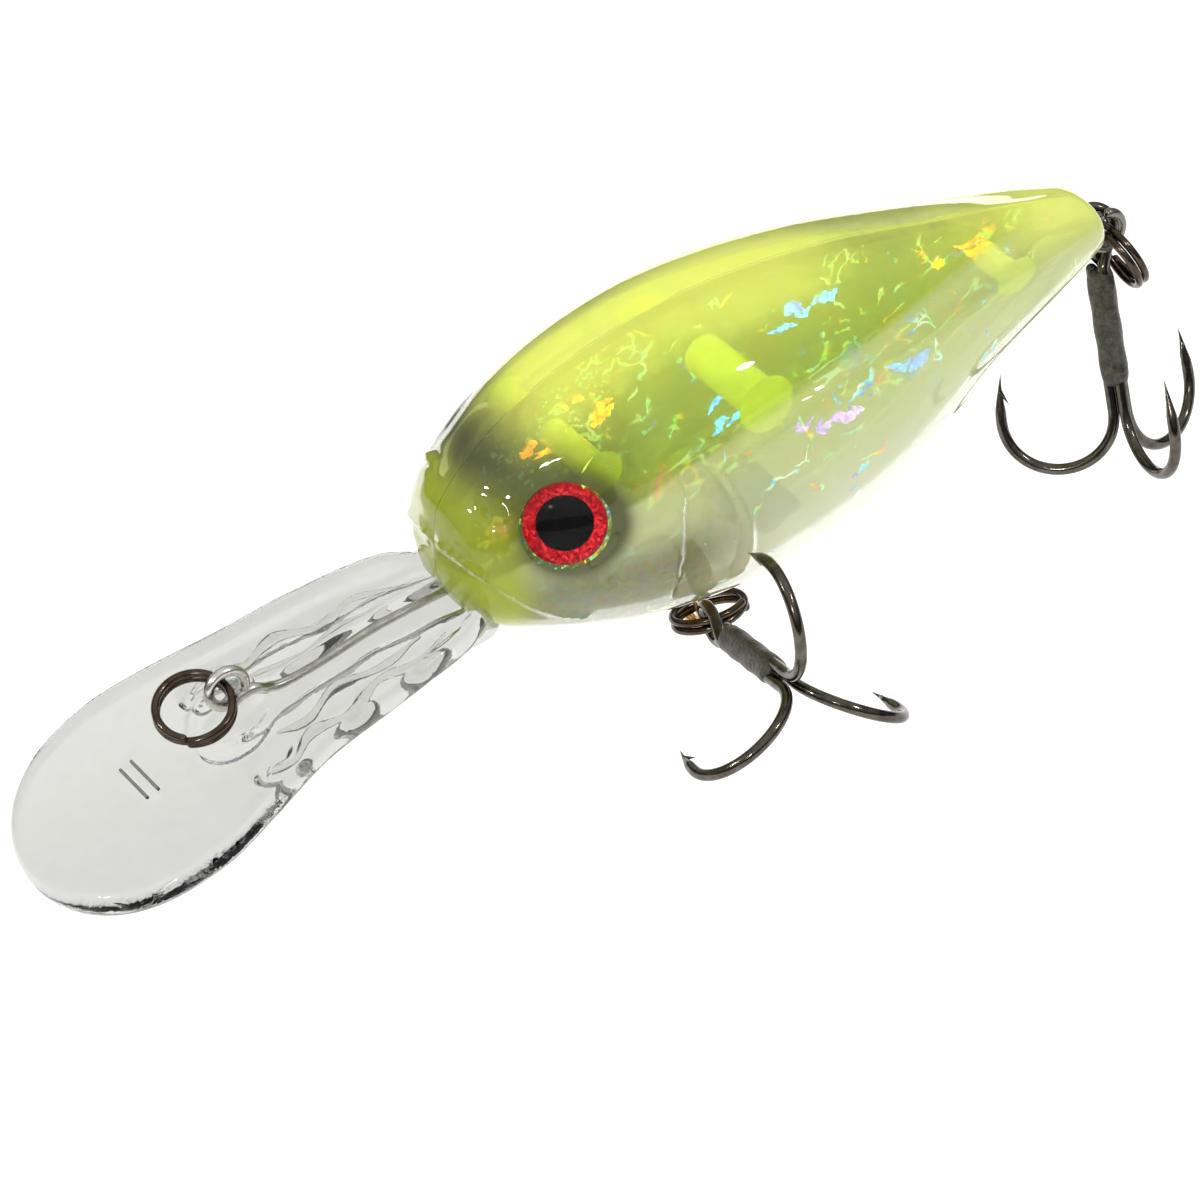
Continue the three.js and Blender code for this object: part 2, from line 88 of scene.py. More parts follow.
# distance ahead of the nose, upper face height, half width
LIP_STATIONS = [
    [-6, -1.6, 3.4],
    [-1.5, -1.3, 4.4],
    [1.5, -1.2, 6.2],
    [8, -1.9, 7.4],
    [14, -2.9, 8.1],
    [19, -4.2, 9.4],
    [23, -5.4, 10.2],
    [27, -6.6, 10.2],
    [30.5, -7.7, 10.2],
    [34, -8.75, 10.2],
]
LIP_THICKNESS = 1.9
LIP_EDGE = 0.70
LIP_WIDEST = 23.0                            # from here on the outline is a superellipse
LIP_REACH = 33.9
LIP_HALF_WIDTH = 10.2
LIP_POWER = 2.5

EYE_NORMAL = np.array([-0.42, -0.85, 0.3]) / np.linalg.norm([-0.42, -0.85, 0.3])
EYE_CENTRE = np.array([6.6, -7.4, 4.6])
EYE_R = 2.95
SOCKET_R = 3.2
SOCKET_DEPTH = 1.45

HANGER_WIRE_R = 0.4
HANGER_LOOP_R = 1.4
RING_WIRE_R = 0.29
RING_R = 2.65
RING_PITCH = 0.63
HOOK_WIRE_R = 0.43
HOOK_SHANK = 13.9
HOOK_GAPE = 8.3
HOOK_POINT_RISE = 3.8
HOOK_SPREAD_R = 0.6
HOOK_EYE_R = 1.45

# where the locating pins cross the parting plane: x, z, radius of the post
PINS = [(10.3, 7.0, 1.1), (23.0, 7.6, 1.6), (47.0, 5.0, 1.0)]
BALLAST = dict(x=24.7, z=-5.2, r=2.1, length=11.0)


# ---- small maths ----
def unit(v):
    v = np.asarray(v, float)
    return v / np.linalg.norm(v)


def smooth(value, low, high):
    """0 below low, 1 above high, with a soft start and end."""
    t = np.clip((np.asarray(value, float) - low) / (high - low), 0, 1)
    return t * t * (3 - 2 * t)


def hump(distance, width):
    return np.exp(-((np.asarray(distance) / width) ** 2))


def along_table(table, at):
    """Smooth columns of a table of stations, read at the first column's values."""
    table = np.asarray(table, float)
    t, v = table[:, 0], table[:, 1:]
    slope = np.empty_like(v)
    slope[1:-1] = (v[2:] - v[:-2]) / (t[2:] - t[:-2])[:, None]
    slope[0] = 1.5 * (v[1] - v[0]) / (t[1] - t[0]) - 0.5 * slope[1]
    slope[-1] = 1.5 * (v[-1] - v[-2]) / (t[-1] - t[-2]) - 0.5 * slope[-2]
    at = np.clip(at, t[0], t[-1])
    i = np.clip(np.searchsorted(t, at, side="right") - 1, 0, len(t) - 2)
    h = t[i + 1] - t[i]
    s = (at - t[i]) / h
    h, s = h[..., None], s[..., None]
    found = ((1 + 2 * s) * (1 - s) ** 2 * v[i] + s * (1 - s) ** 2 * h * slope[i]
             + s * s * (3 - 2 * s) * v[i + 1] + s * s * (s - 1) * h * slope[i + 1])
    return np.moveaxis(found, -1, 0)


def curve_through(points, per_span=12):
    """A smooth line through a few points."""
    p = np.asarray(points, float)
    p = np.vstack([2 * p[0] - p[1], p, 2 * p[-1] - p[-2]])
    t = np.concatenate([[0], np.cumsum(np.linalg.norm(np.diff(p, axis=0), axis=1) ** 0.5)])
    line = []
    for i in range(1, len(p) - 2):
        for s in np.linspace(t[i], t[i + 1], per_span, endpoint=False):
            a = [((t[k + 1] - s) * p[k] + (s - t[k]) * p[k + 1]) / (t[k + 1] - t[k]) for k in (i - 1, i, i + 1)]
            b = [((t[k + 2] - s) * a[j] + (s - t[k]) * a[j + 1]) / (t[k + 2] - t[k])
                 for j, k in enumerate((i - 1, i))]
            line.append(((t[i + 1] - s) * b[0] + (s - t[i]) * b[1]) / (t[i + 1] - t[i]))
    line.append(p[-2])
    return np.array(line)


def distance_to_line(x, z, line):
    """Distance of each point (x, z) from a line given by its points."""
    line = np.asarray(line, float)
    best = np.full(np.shape(x), 1e9)
    for (ax, az), (bx, bz) in zip(line[:-1], line[1:]):
        dx, dz = bx - ax, bz - az
        t = np.clip(((x - ax) * dx + (z - az) * dz) / (dx * dx + dz * dz), 0, 1)
        best = np.minimum(best, np.hypot(x - ax - t * dx, z - az - t * dz))
    return best


# ---- mesh helpers ----
def place(points):
    return np.asarray(points, float) * MM - LINE_TIE * MM


def mesh_object(name, points, faces, materials, face_materials=None, smooth_angle=40):
    mesh = bpy.data.meshes.new(name)
    mesh.from_pydata(place(points).tolist(), [], [list(map(int, f)) for f in faces])
    for material in materials:
        mesh.materials.append(material)
    if face_materials is not None:
        mesh.polygons.foreach_set("material_index", np.asarray(face_materials, np.int32))
    mesh.validate()
    obj = bpy.data.objects.new(name, mesh)
    bpy.context.scene.collection.objects.link(obj)
    soften(mesh, smooth_angle)
    return obj


def soften(mesh, angle):
    """Smooth shading that keeps edges sharper than the angle."""
    mesh.shade_smooth()
    mesh.set_sharp_from_angle(angle=math.radians(angle))


def grid_faces(rows, columns, start=0, around=False, flip=False):
    """Quads between neighbouring rows of points."""
    faces = []
    last = columns if around else columns - 1
    for i in range(rows - 1):
        for j in range(last):
            k = (j + 1) % columns
            a, b = start + i * columns + j, start + i * columns + k
            quad = (a, b, b + columns, a + columns)
            faces.append(quad[::-1] if flip else quad)
    return faces


def closed_loft(rings):
    """Points and faces of rings joined into one skin, closed at both ends by a fan."""
    rings = np.asarray(rings, float)
    rows, columns = rings.shape[:2]
    points = rings.reshape(-1, 3)
    faces = grid_faces(rows, columns, around=True)
    first, last = rows * columns, rows * columns + 1
    points = np.vstack([points, rings[0].mean(0), rings[-1].mean(0)])
    for j in range(columns):
        k = (j + 1) % columns
        faces.append((first, k, j))
        faces.append((last, last - 1 - columns + j, last - 1 - columns + k))
    return points, faces


def sweep(line, radii, sides=16, closed=False):
    """Rings of a round section carried along a line without twisting."""
    line = np.asarray(line, float)
    radii = np.broadcast_to(radii, len(line))
    ahead = np.gradient(line, axis=0)
    if closed:
        ahead = np.roll(line, -1, 0) - np.roll(line, 1, 0)
    ahead /= np.linalg.norm(ahead, axis=1)[:, None]
    helper = np.eye(3)[np.argmin(np.abs(ahead[0]))]
    normal = unit(np.cross(ahead[0], helper))
    turn = np.linspace(0, 2 * np.pi, sides, endpoint=False)
    rings = []
    for p, d, r in zip(line, ahead, radii):
        normal = unit(normal - d * normal.dot(d))
        other = np.cross(d, normal)
        rings.append(p + r * (np.cos(turn)[:, None] * normal + np.sin(turn)[:, None] * other))
    return np.array(rings)


def with_round_ends(line, radius, start=True, end=True, steps=5):
    """The line with extra points at its ends, and the radii that round them off."""
    line = np.asarray(line, float)
    angles = np.linspace(0, np.pi / 2, steps + 1)[1:]
    radii = [radius] * len(line)
    if end:
        d = unit(line[-1] - line[-2])
        line = np.vstack([line, [line[-1] + d * radius * math.sin(a) for a in angles]])
        radii += [max(radius * math.cos(a), 0.002) for a in angles]
    if start:
        d = unit(line[0] - line[1])
        line = np.vstack([[line[0] + d * radius * math.sin(a) for a in angles[::-1]], line])
        radii = [max(radius * math.cos(a), 0.002) for a in angles[::-1]] + radii
    return line, np.array(radii)


def wire(line, radius, sides=16, start=True, end=True):
    line, radii = with_round_ends(line, radius, start, end)
    return closed_loft(sweep(line, radii, sides))


def joined(parts):
    """Several (points, faces) as one."""
    points, faces, offset = [], [], 0
    for p, f in parts:
        points.append(np.asarray(p, float))
        faces += [tuple(i + offset for i in face) for face in f]
        offset += len(p)
    return np.vstack(points), faces


def lathe(profile, centre, axis, sides=64):
    """Closed body of revolution. The profile is (radius, distance along the axis), from axis to axis."""
    axis = unit(axis)
    across = unit(np.cross(axis, [0.3, 0.2, 0.9]))
    other = np.cross(axis, across)
    turn = np.linspace(0, 2 * np.pi, sides, endpoint=False)
    rings = [np.asarray(centre) + axis * h + r * (np.cos(turn)[:, None] * across + np.sin(turn)[:, None] * other)
             for r, h in profile]
    return closed_loft(rings)


def rounded_profile(radius, low, high, edge, steps=5):
    """A lathe profile of a rod with rounded rims."""
    turn = np.linspace(0, np.pi / 2, steps)
    up = [(radius - edge + edge * math.sin(a), low + edge - edge * math.cos(a)) for a in turn]
    down = [(radius - edge + edge * math.cos(a), high - edge + edge * math.sin(a)) for a in turn]
    return [(0.01, low), *up, *down, (0.01, high)]


def keep(obj, body, slot, *nodes):
    """Parents a finished piece to the body it moves with and hides the CAD nodes it stands for. slot, its finish, is
    not used.
    """
    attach(obj, body)
    if nodes:
        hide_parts(*nodes)
    return obj


# ---- node materials ----
class Shader:
    """A short way to write a node tree. A value is a number, a colour or another node's socket."""

    def __init__(self, name):
        self.material = bpy.data.materials.new(name)
        self.material.use_nodes = True
        self.tree = self.material.node_tree
        self.tree.nodes.clear()
        self.output = self.node("ShaderNodeOutputMaterial")
        here = self.node("ShaderNodeTexCoord").outputs["Object"]
        scaled = self.node("ShaderNodeVectorMath", {0: here, 1: (1 / MM,) * 3}, operation="MULTIPLY")
        shift = self.node("ShaderNodeVectorMath", {0: scaled.outputs[0], 1: tuple(LINE_TIE)}, operation="ADD")
        self.at = shift.outputs[0]
        split = self.node("ShaderNodeSeparateXYZ", {0: self.at})
        self.x, self.y, self.z = split.outputs

    def node(self, kind, inputs=None, **settings):
        made = self.tree.nodes.new(kind)
        for key, value in settings.items():
            setattr(made, key, value)
        for key, value in (inputs or {}).items():
            self.put(made.inputs[key], value)
        return made

    def put(self, socket, value):
        if isinstance(value, bpy.types.NodeSocket):
            self.tree.links.new(value, socket)
        elif socket.type == "RGBA":
            socket.default_value = (*value[:3], 1)
        else:
            socket.default_value = value

    def math(self, operation, a, b=0.0, clamp=False):
        return self.node("ShaderNodeMath", {0: a, 1: b}, operation=operation, use_clamp=clamp).outputs[0]

    def step(self, value, low, high):
        """0 at low and 1 at high, smooth in between; low may be the larger one."""
        made = self.node("ShaderNodeMapRange", {0: value, 1: low, 2: high, 3: 0.0, 4: 1.0})
        made.interpolation_type = "SMOOTHSTEP"
        return made.outputs[0]

    def mix(self, share, a, b, blend="MIX"):
        made = self.node("ShaderNodeMix", data_type="RGBA", blend_type=blend)
        self.put(made.inputs[0], share)
        self.put(made.inputs[6], a)
        self.put(made.inputs[7], b)
        return made.outputs[2]

    def level(self, share, a, b):
        """A number that goes from a to b with share."""
        return self.node("ShaderNodeMapRange", {0: share, 1: 0.0, 2: 1.0, 3: a, 4: b}).outputs[0]

    def noise(self, scale, detail=2.0, rough=0.5, distortion=0.0, at=None):
        made = self.node("ShaderNodeTexNoise", {
            "Vector": at or self.at, "Scale": scale, "Detail": detail, "Roughness": rough,
            "Distortion": distortion})
        return made.outputs[0]

    def warped(self, scale, amount):
        """The coordinates, pushed about by a noise."""
        push = self.node("ShaderNodeTexNoise", {"Vector": self.at, "Scale": scale, "Detail": 3.0}).outputs[1]
        centred = self.node("ShaderNodeVectorMath", {0: push, 1: (0.5,) * 3}, operation="SUBTRACT").outputs[0]
        more = self.node("ShaderNodeVectorMath", {0: centred, 1: (amount,) * 3}, operation="MULTIPLY").outputs[0]
        return self.node("ShaderNodeVectorMath", {0: self.at, 1: more}, operation="ADD").outputs[0]

    def cells(self, scale, feature="F1", at=None, randomness=1.0):
        return self.node("ShaderNodeTexVoronoi", {"Vector": at or self.at, "Scale": scale, "Randomness": randomness},
                         feature=feature)

    def ramp(self, value, *stops):
        made = self.node("ShaderNodeValToRGB", {0: value})
        band = made.color_ramp
        while len(band.elements) < len(stops):
            band.elements.new(0.5)
        for element, (position, colour) in zip(band.elements, stops):
            element.position = position
            element.color = (*colour, 1)
        return made.outputs[0]

    def bump(self, height, strength, distance):
        """distance is in millimetres."""
        return self.node("ShaderNodeBump", {
            "Height": height, "Strength": strength, "Distance": distance * MM}).outputs[0]

    def distance_from(self, point):
        apart = self.node("ShaderNodeVectorMath", {0: self.at, 1: tuple(map(float, point))}, operation="DISTANCE")
        return apart.outputs["Value"]

    def principled(self, **inputs):
        return self.node("ShaderNodeBsdfPrincipled", {k.replace("_", " "): v for k, v in inputs.items()})

    def finish(self, shader):
        self.tree.links.new(shader.outputs[0], self.output.inputs["Surface"])
        return self.material

    def finish_clear(self, shader, shadow):
        """Clear plastic that lets lamplight through: shadow is the tint of the light that passes."""
        is_shadow = self.node("ShaderNodeLightPath").outputs["Is Shadow Ray"]
        passing = self.node("ShaderNodeBsdfTransparent", {"Color": shadow})
        both = self.node("ShaderNodeMixShader", {0: is_shadow})
        self.tree.links.new(shader.outputs[0], both.inputs[1])
        self.tree.links.new(passing.outputs[0], both.inputs[2])
        return self.finish(both)


HOLOGRAM = [
    (0.00, (0.30, 0.10, 0.95)),
    (0.18, (0.10, 0.35, 1.00)),
    (0.32, (0.25, 0.95, 1.00)),
    (0.44, (0.90, 1.00, 0.80)),
    (0.58, (0.20, 0.95, 0.35)),
    (0.70, (1.00, 0.85, 0.10)),
    (0.84, (1.00, 0.38, 0.05)),
    (1.00, (0.90, 0.10, 0.45)),
]
SHELL_IOR = 1.10
RIDGE_TOP = 8.65          # height of the line between back and flank at its highest place
RIDGE_AT = 36.0
RIDGE_FALL = 0.006


def ridge_height(x):
    return RIDGE_TOP - RIDGE_FALL * (x - RIDGE_AT) ** 2


def streaks(s, scale, rare_low, rare_high):
    """Painted glints: thin broken lines along the creases of a film, and the rainbow they are coloured with; the
    callers make them glow.
    """
    bent = s.warped(0.28, 5.0)
    creases = s.cells(scale, "DISTANCE_TO_EDGE", bent).outputs["Distance"]
    fine = s.cells(scale * 2.1, "DISTANCE_TO_EDGE", s.warped(0.5, 3.0)).outputs["Distance"]
    line = s.step(creases, 0.034, 0.012)
    thin = s.step(fine, 0.052, 0.018)
    patchy = s.step(s.noise(0.26, 1.0), rare_low, rare_high)
    patchy_fine = s.step(s.noise(0.33, 1.0, at=bent), rare_low + 0.02, rare_high + 0.02)
    lit = s.math("MAXIMUM", s.math("MULTIPLY", line, patchy), s.math("MULTIPLY", thin, patchy_fine))
    hue = s.ramp(s.noise(0.30, 3.0, 0.55), *[(0.30 + 0.40 * p, c) for p, c in HOLOGRAM])
    return lit, hue


def painted_plastic():
    """Clear moulding, sprayed chartreuse over the back, smoky over the head, pearl on the cheeks."""
    s = Shader("painted_clear_plastic")
    drift = s.math("MULTIPLY", s.math("SUBTRACT", s.noise(0.35, 3.0), 0.5), 1.2)
    from_top = s.math("SUBTRACT", s.x, RIDGE_AT)
    ridge = s.math("SUBTRACT", RIDGE_TOP, s.math("MULTIPLY", s.math("MULTIPLY", from_top, from_top), RIDGE_FALL))
    above = s.math("SUBTRACT", s.z, ridge)
    back = s.step(above, -0.25, 0.35)
    tail_lift = s.math("MULTIPLY", s.step(s.x, 34.0, 52.0), 3.4)
    head_drop = s.math("MULTIPLY", s.step(s.x, 32.0, 15.0), -2.6)
    lifted = s.math("ADD", s.math("ADD", above, drift), s.math("ADD", tail_lift, head_drop))
    crest = s.step(lifted, 0.8, 4.2)
    front = s.math("ADD", s.x, drift)

    low_flank = s.ramp(
        s.math("MULTIPLY", s.math("ADD", s.math("ADD", s.z, drift), 9.0), 1 / 17.0),
        (0.0, (0.64, 0.64, 0.47)), (0.45, (0.66, 0.69, 0.47)), (0.95, (0.60, 0.66, 0.25)))
    upper_flank = s.mix(s.step(front, 6.5, 15.5), (0.10, 0.115, 0.02), (0.50, 0.62, 0.10))
    upper_flank = s.mix(s.step(front, 30.0, 44.0), upper_flank, (0.72, 0.82, 0.16))
    colour = s.mix(back, low_flank, upper_flank)
    colour = s.mix(crest, colour, (0.86, 0.93, 0.15))
    opacity = s.math("MAXIMUM", s.level(back, 0.62, 0.42), s.level(crest, 0.0, 0.66))
    opacity = s.math("MAXIMUM", opacity, s.level(s.step(s.x, 38.0, 52.0), 0.0, 0.78))

    smoke = s.math("MULTIPLY", s.step(front, 11.0, 3.6), s.step(s.math("ADD", s.z, drift), 5.2, 8.2))
    colour = s.mix(smoke, colour, (0.075, 0.085, 0.035))
    opacity = s.math("ADD", opacity, s.math("MULTIPLY", smoke, 0.30))
    cheek = s.math("MULTIPLY", s.step(front, 22.0, 14.5), s.step(s.math("ADD", s.z, drift), 3.4, -1.0))
    flake = s.cells(2.6).outputs["Color"]
    pearl = s.mix(0.06, s.mix(s.step(s.z, 1.5, -5.0), (0.19, 0.20, 0.09), (0.27, 0.28, 0.15)), flake)
    colour = s.mix(cheek, colour, pearl)
    opacity = s.math("ADD", opacity, s.math("MULTIPLY", cheek, 0.12))
    nose = s.math("MULTIPLY", s.step(front, 5.6, 2.2), s.step(s.z, 7.4, 5.4))
    colour = s.mix(nose, colour, (0.35, 0.40, 0.04))
    opacity = s.math("ADD", opacity, s.math("MULTIPLY", nose, 0.25))
    # painted shade: the paint turns dark olive round each eye socket, over the recessed socket wall and a ring round
    # it, where shade falls
    around_eye = s.step(s.distance_from(EYE_CENTRE + np.array([0.8, 0.0, -0.4])), 4.9, 3.3)
    other_eye = s.step(s.distance_from((EYE_CENTRE + np.array([0.8, 0.0, -0.4])) * [1, -1, 1]), 4.9, 3.3)
    socket = s.math("MAXIMUM", around_eye, other_eye)
    colour = s.mix(socket, colour, (0.085, 0.09, 0.028))
    opacity = s.math("ADD", opacity, s.math("MULTIPLY", socket, 0.35))
    patch = s.step(s.math("ADD", s.distance_from((19.6, 0, -10.5)), drift), 7.6, 2.5)
    colour = s.mix(patch, colour, (0.80, 0.42, 0.04))
    opacity = s.math("ADD", opacity, s.math("MULTIPLY", patch, 0.25))
    opacity = s.math("MINIMUM", opacity, 0.95)

    # painted glints: broken rainbow streaks, painted in and glowing on the clear flank, for the light that the inner
    # film throws
    lit, hue = streaks(s, 0.19, 0.59, 0.65)
    below = s.math("MULTIPLY", s.step(above, 0.0, -0.8), s.step(s.x, 9.0, 15.0))
    lit = s.math("MULTIPLY", lit, below)
    grain = s.noise(1.6, 4.0, 0.6)
    shader = s.principled(
        Base_Color=s.mix(0.10, s.mix(s.math("MULTIPLY", lit, 0.7), colour, hue),
                         s.ramp(grain, (0.3, (0.75, 0.8, 0.5)), (0.7, (1, 1, 0.85))), "MULTIPLY"),
        Transmission_Weight=s.math("SUBTRACT", 1.0, opacity),
        Roughness=s.level(grain, 0.0, 0.012), IOR=SHELL_IOR, Coat_Weight=0.6, Coat_Roughness=0.015,
        Emission_Color=hue, Emission_Strength=s.math("MULTIPLY", lit, 0.22),
        Normal=s.bump(s.noise(0.9, 2.0), 0.06, 0.25))
    passed = s.mix(opacity, (0.97, 0.98, 0.92), s.mix(0.55, (0, 0, 0), colour))
    return s.finish_clear(shader, passed)


def clear_plastic(name, tint, ripple=0.12, ior=1.49, coat=0.0):
    """Bare polished moulding with faint flow marks."""
    s = Shader(name)
    flow = s.noise(0.5, 3.0, 0.5, 1.2)
    shader = s.principled(
        Base_Color=s.mix(s.step(flow, 0.3, 0.7), tint, tuple(min(1.0, c * 1.03) for c in tint)),
        Transmission_Weight=1.0, Roughness=s.level(flow, 0.0, 0.02), IOR=ior,
        Coat_Weight=coat, Coat_Roughness=0.01, Normal=s.bump(flow, ripple, 0.3))
    return s.finish_clear(shader, tuple(c * 0.97 for c in tint))


def welded_seam():
    """The faces where the two halves are welded: light goes straight on through them."""
    s = Shader("welded_seam")
    flow = s.noise(1.2, 3.0)
    return s.finish(s.principled(Base_Color=s.ramp(flow, (0.3, (0.16, 0.20, 0.03)), (0.7, (0.26, 0.32, 0.05))),
                                 Roughness=0.4, Alpha=s.level(flow, 0.10, 0.22)))


def post_plastic():
    s = Shader("post_plastic")
    streak = s.noise(0.8, 3.0)
    # painted light: the posts glow faintly, so that they show bright and crisp through the shell
    shader = s.principled(
        Base_Color=s.ramp(streak, (0.3, (0.62, 0.78, 0.07)), (0.7, (0.86, 0.95, 0.16))),
        Transmission_Weight=0.15, Roughness=0.12, IOR=1.49, Emission_Color=(0.85, 1.0, 0.10),
        Emission_Strength=0.24, Normal=s.bump(streak, 0.2, 0.2))
    return s.finish_clear(shader, (0.75, 0.85, 0.25))


def hologram_film():
    """Creased aurora film: broken streaks of colour along its creases, and flake near the head, both glowing as
    painted glints.
    """
    s = Shader("holographic_film")
    streak, hue = streaks(s, 0.17, 0.54, 0.60)
    grains = s.cells(4.2)
    grain_level = s.node("ShaderNodeSeparateColor", {0: grains.outputs["Color"]}).outputs[0]
    near_head = s.math("MULTIPLY", s.step(s.x, 19.0, 12.0), s.step(s.noise(0.4, 2.0), 0.40, 0.58))
    sparkle = s.math("MULTIPLY", s.step(grain_level, 0.80, 0.90), near_head)
    # painted reflection and shade: the film runs darker and olive towards the back, for the painted back it mirrors
    # and the light that back holds off; it is also darker towards the head
    base = s.ramp(
        s.math("MULTIPLY", s.math("ADD", s.z, 10.0), 1 / 23.0),
        (0.0, (0.78, 0.80, 0.66)), (0.45, (0.55, 0.62, 0.32)), (0.70, (0.27, 0.35, 0.08)),
        (0.98, (0.20, 0.26, 0.05)))
    base = s.mix(s.math("MULTIPLY", s.step(s.x, 17.0, 6.0), 0.6), base, (0.12, 0.15, 0.04))
    # painted glints: the lit streaks and flakes glow and take the rainbow colour
    lit = s.math("MAXIMUM", streak, sparkle)
    shader = s.principled(
        Base_Color=s.mix(lit, s.mix(0.12, base, hue), hue),
        Metallic=0.75, Roughness=s.level(s.noise(0.8, 3.0), 0.18, 0.38),
        Emission_Color=hue, Emission_Strength=s.math("MULTIPLY", lit, 0.6),
        Normal=s.bump(s.noise(0.5, 3.0), 0.8, 0.5))
    return s.finish(shader)


def film_edge():
    """The cut edge of the film, which is dark and takes no colour from the foil."""
    s = Shader("film_edge")
    wear = s.noise(1.5, 3.0)
    return s.finish(s.principled(Base_Color=s.ramp(wear, (0.3, (0.05, 0.065, 0.01)), (0.7, (0.10, 0.13, 0.02))),
                                 Roughness=s.level(wear, 0.5, 0.7), Normal=s.bump(wear, 0.3, 0.1)))


def glowing_fold_glint(word, brightest, low, high):
    """Painted glint: a fold of the film that glows, running from one colour to the other."""
    s = Shader(f"{word}_glowing_fold_glint")
    drift = s.noise(0.5, 3.0)
    hue = s.ramp(drift, (0.35, low), (0.65, high))
    glow = s.level(s.step(s.noise(2.2, 2.0), 0.35, 0.6), 0.35 * brightest, brightest)
    shader = s.principled(Base_Color=hue, Metallic=0.7, Roughness=s.level(drift, 0.15, 0.3),
                          Emission_Color=hue, Emission_Strength=glow)
    return s.finish(shader)


def plated_metal(name, dark, light, rough, scratches=0.3):
    """Plating with fine draw marks, a little duller in patches."""
    s = Shader(name)
    cloud = s.noise(1.1, 4.0, 0.6)
    fine = s.noise(9.0, 3.0, 0.7)
    shader = s.principled(
        Base_Color=s.ramp(cloud, (0.3, dark), (0.7, light)), Metallic=1.0,
        Roughness=s.level(s.math("MULTIPLY", s.math("ADD", cloud, fine), 0.5), rough * 0.6, rough * 1.5),
        Normal=s.bump(fine, scratches, 0.03))
    return s.finish(shader)


def braze_metal():
    s = Shader("brazed_steel")
    lumps = s.noise(1.8, 5.0, 0.7)
    pits = s.cells(2.4).outputs["Distance"]
    shader = s.principled(
        Base_Color=s.ramp(lumps, (0.3, (0.030, 0.028, 0.022)), (0.65, (0.105, 0.098, 0.080))),
        Metallic=0.9, Roughness=s.level(lumps, 0.26, 0.50),
        Normal=s.bump(s.math("ADD", lumps, s.math("MULTIPLY", pits, 0.4)), 0.7, 0.25))
    return s.finish(shader)


def ballast_metal():
    s = Shader("ballast_metal")
    cast = s.noise(1.5, 4.0, 0.6)
    shader = s.principled(
        Base_Color=s.ramp(cast, (0.3, (0.19, 0.21, 0.17)), (0.7, (0.34, 0.36, 0.30))), Metallic=0.6,
        Roughness=s.level(cast, 0.38, 0.6), Normal=s.bump(cast, 0.4, 0.2))
    return s.finish(shader)


def iris_foil(name, centre):
    """Red glitter ring round a black pupil, with a darker rim."""
    s = Shader(name)
    out = s.math("DIVIDE", s.distance_from(centre), EYE_R)
    grains = s.cells(5.0)
    tone = s.node("ShaderNodeSeparateColor", {0: grains.outputs["Color"]})
    glitter = s.step(tone.outputs[0], 0.55, 0.95)
    red = s.ramp(tone.outputs[1], (0.0, (0.20, 0.001, 0.004)), (0.6, (0.46, 0.003, 0.010)), (1.0, (0.80, 0.03, 0.03)))
    red = s.mix(s.math("MULTIPLY", s.step(out, 0.88, 0.97), 0.6), red, (0.25, 0.0, 0.01))
    ring = s.step(out, 0.655, 0.68)
    # painted glints: the glitter grains of the red ring glow faintly
    shader = s.principled(
        Base_Color=s.mix(ring, (0.004, 0.004, 0.004), red), Metallic=s.math("MULTIPLY", ring, 0.7),
        Specular_IOR_Level=s.math("MULTIPLY", ring, 0.15),
        Roughness=s.level(ring, 0.12, 0.34), Emission_Color=(1.0, 0.12, 0.08),
        Emission_Strength=s.math("MULTIPLY", s.math("MULTIPLY", glitter, ring), 0.03),
        Normal=s.bump(grains.outputs["Distance"], 0.6, 0.12))
    return s.finish(shader)


# ---- shell halves ----
SHELL_COLUMNS = 97
GILL_TOP = 6.6
GILL_LOW = -5.4
MOUTH = [(0.2, 2.6), (1.8, 0.9), (3.6, -1.2), (5.6, -3.0), (7.6, -4.1)]
NOSTRIL = (2.9, 6.0)


def shell_x():
    """Where the shell's rings stand: close together at the rounded ends."""
    turn = np.linspace(0.02, np.pi / 2, 12)
    nose = NOSE_ROUNDING * (1 - np.cos(turn))
    tail = BODY_LENGTH - TAIL_ROUNDING * (1 - np.cos(turn))[::-1]
    return np.concatenate([nose, np.linspace(nose[-1], tail[0], 252)[1:-1], tail])


def flank(x, angle, inset):
    """Points of the right flank. Angle runs from the back (90 degrees) to the belly (-90)."""
    x, angle = np.meshgrid(x, angle, indexing="ij")
    top, bottom, half = along_table(BODY_STATIONS, x)
    nose = 1 - np.clip(1 - x / NOSE_ROUNDING, 0, 1) ** 2
    tail = 1 - np.clip(1 - (BODY_LENGTH - x) / TAIL_ROUNDING, 0, 1) ** 2
    closing = np.sqrt(np.clip(nose * tail, 0, 1))
    middle = (top + bottom) / 2
    top, bottom, half = middle + (top - middle) * closing, middle + (bottom - middle) * closing, half * closing
    waist = bottom + WAIST * (top - bottom)
    s, c = np.sin(angle), np.clip(np.cos(angle), 0, 1)
    power = np.where(s >= 0, 2 / UPPER_ROUNDNESS, 2 / LOWER_ROUNDNESS)
    rise = np.maximum(np.where(s >= 0, top - waist, waist - bottom) - inset, 0.01)
    y = SEAM + np.maximum(half - inset, 0.01) * c ** power
    return np.stack([x, y, waist + np.sign(s) * rise * np.abs(s) ** power], -1)


def normals_of(grid):
    du, dv = np.gradient(grid, axis=0), np.gradient(grid, axis=1)
    n = np.cross(dv, du)
    return n / np.maximum(np.linalg.norm(n, axis=-1), 1e-9)[..., None]


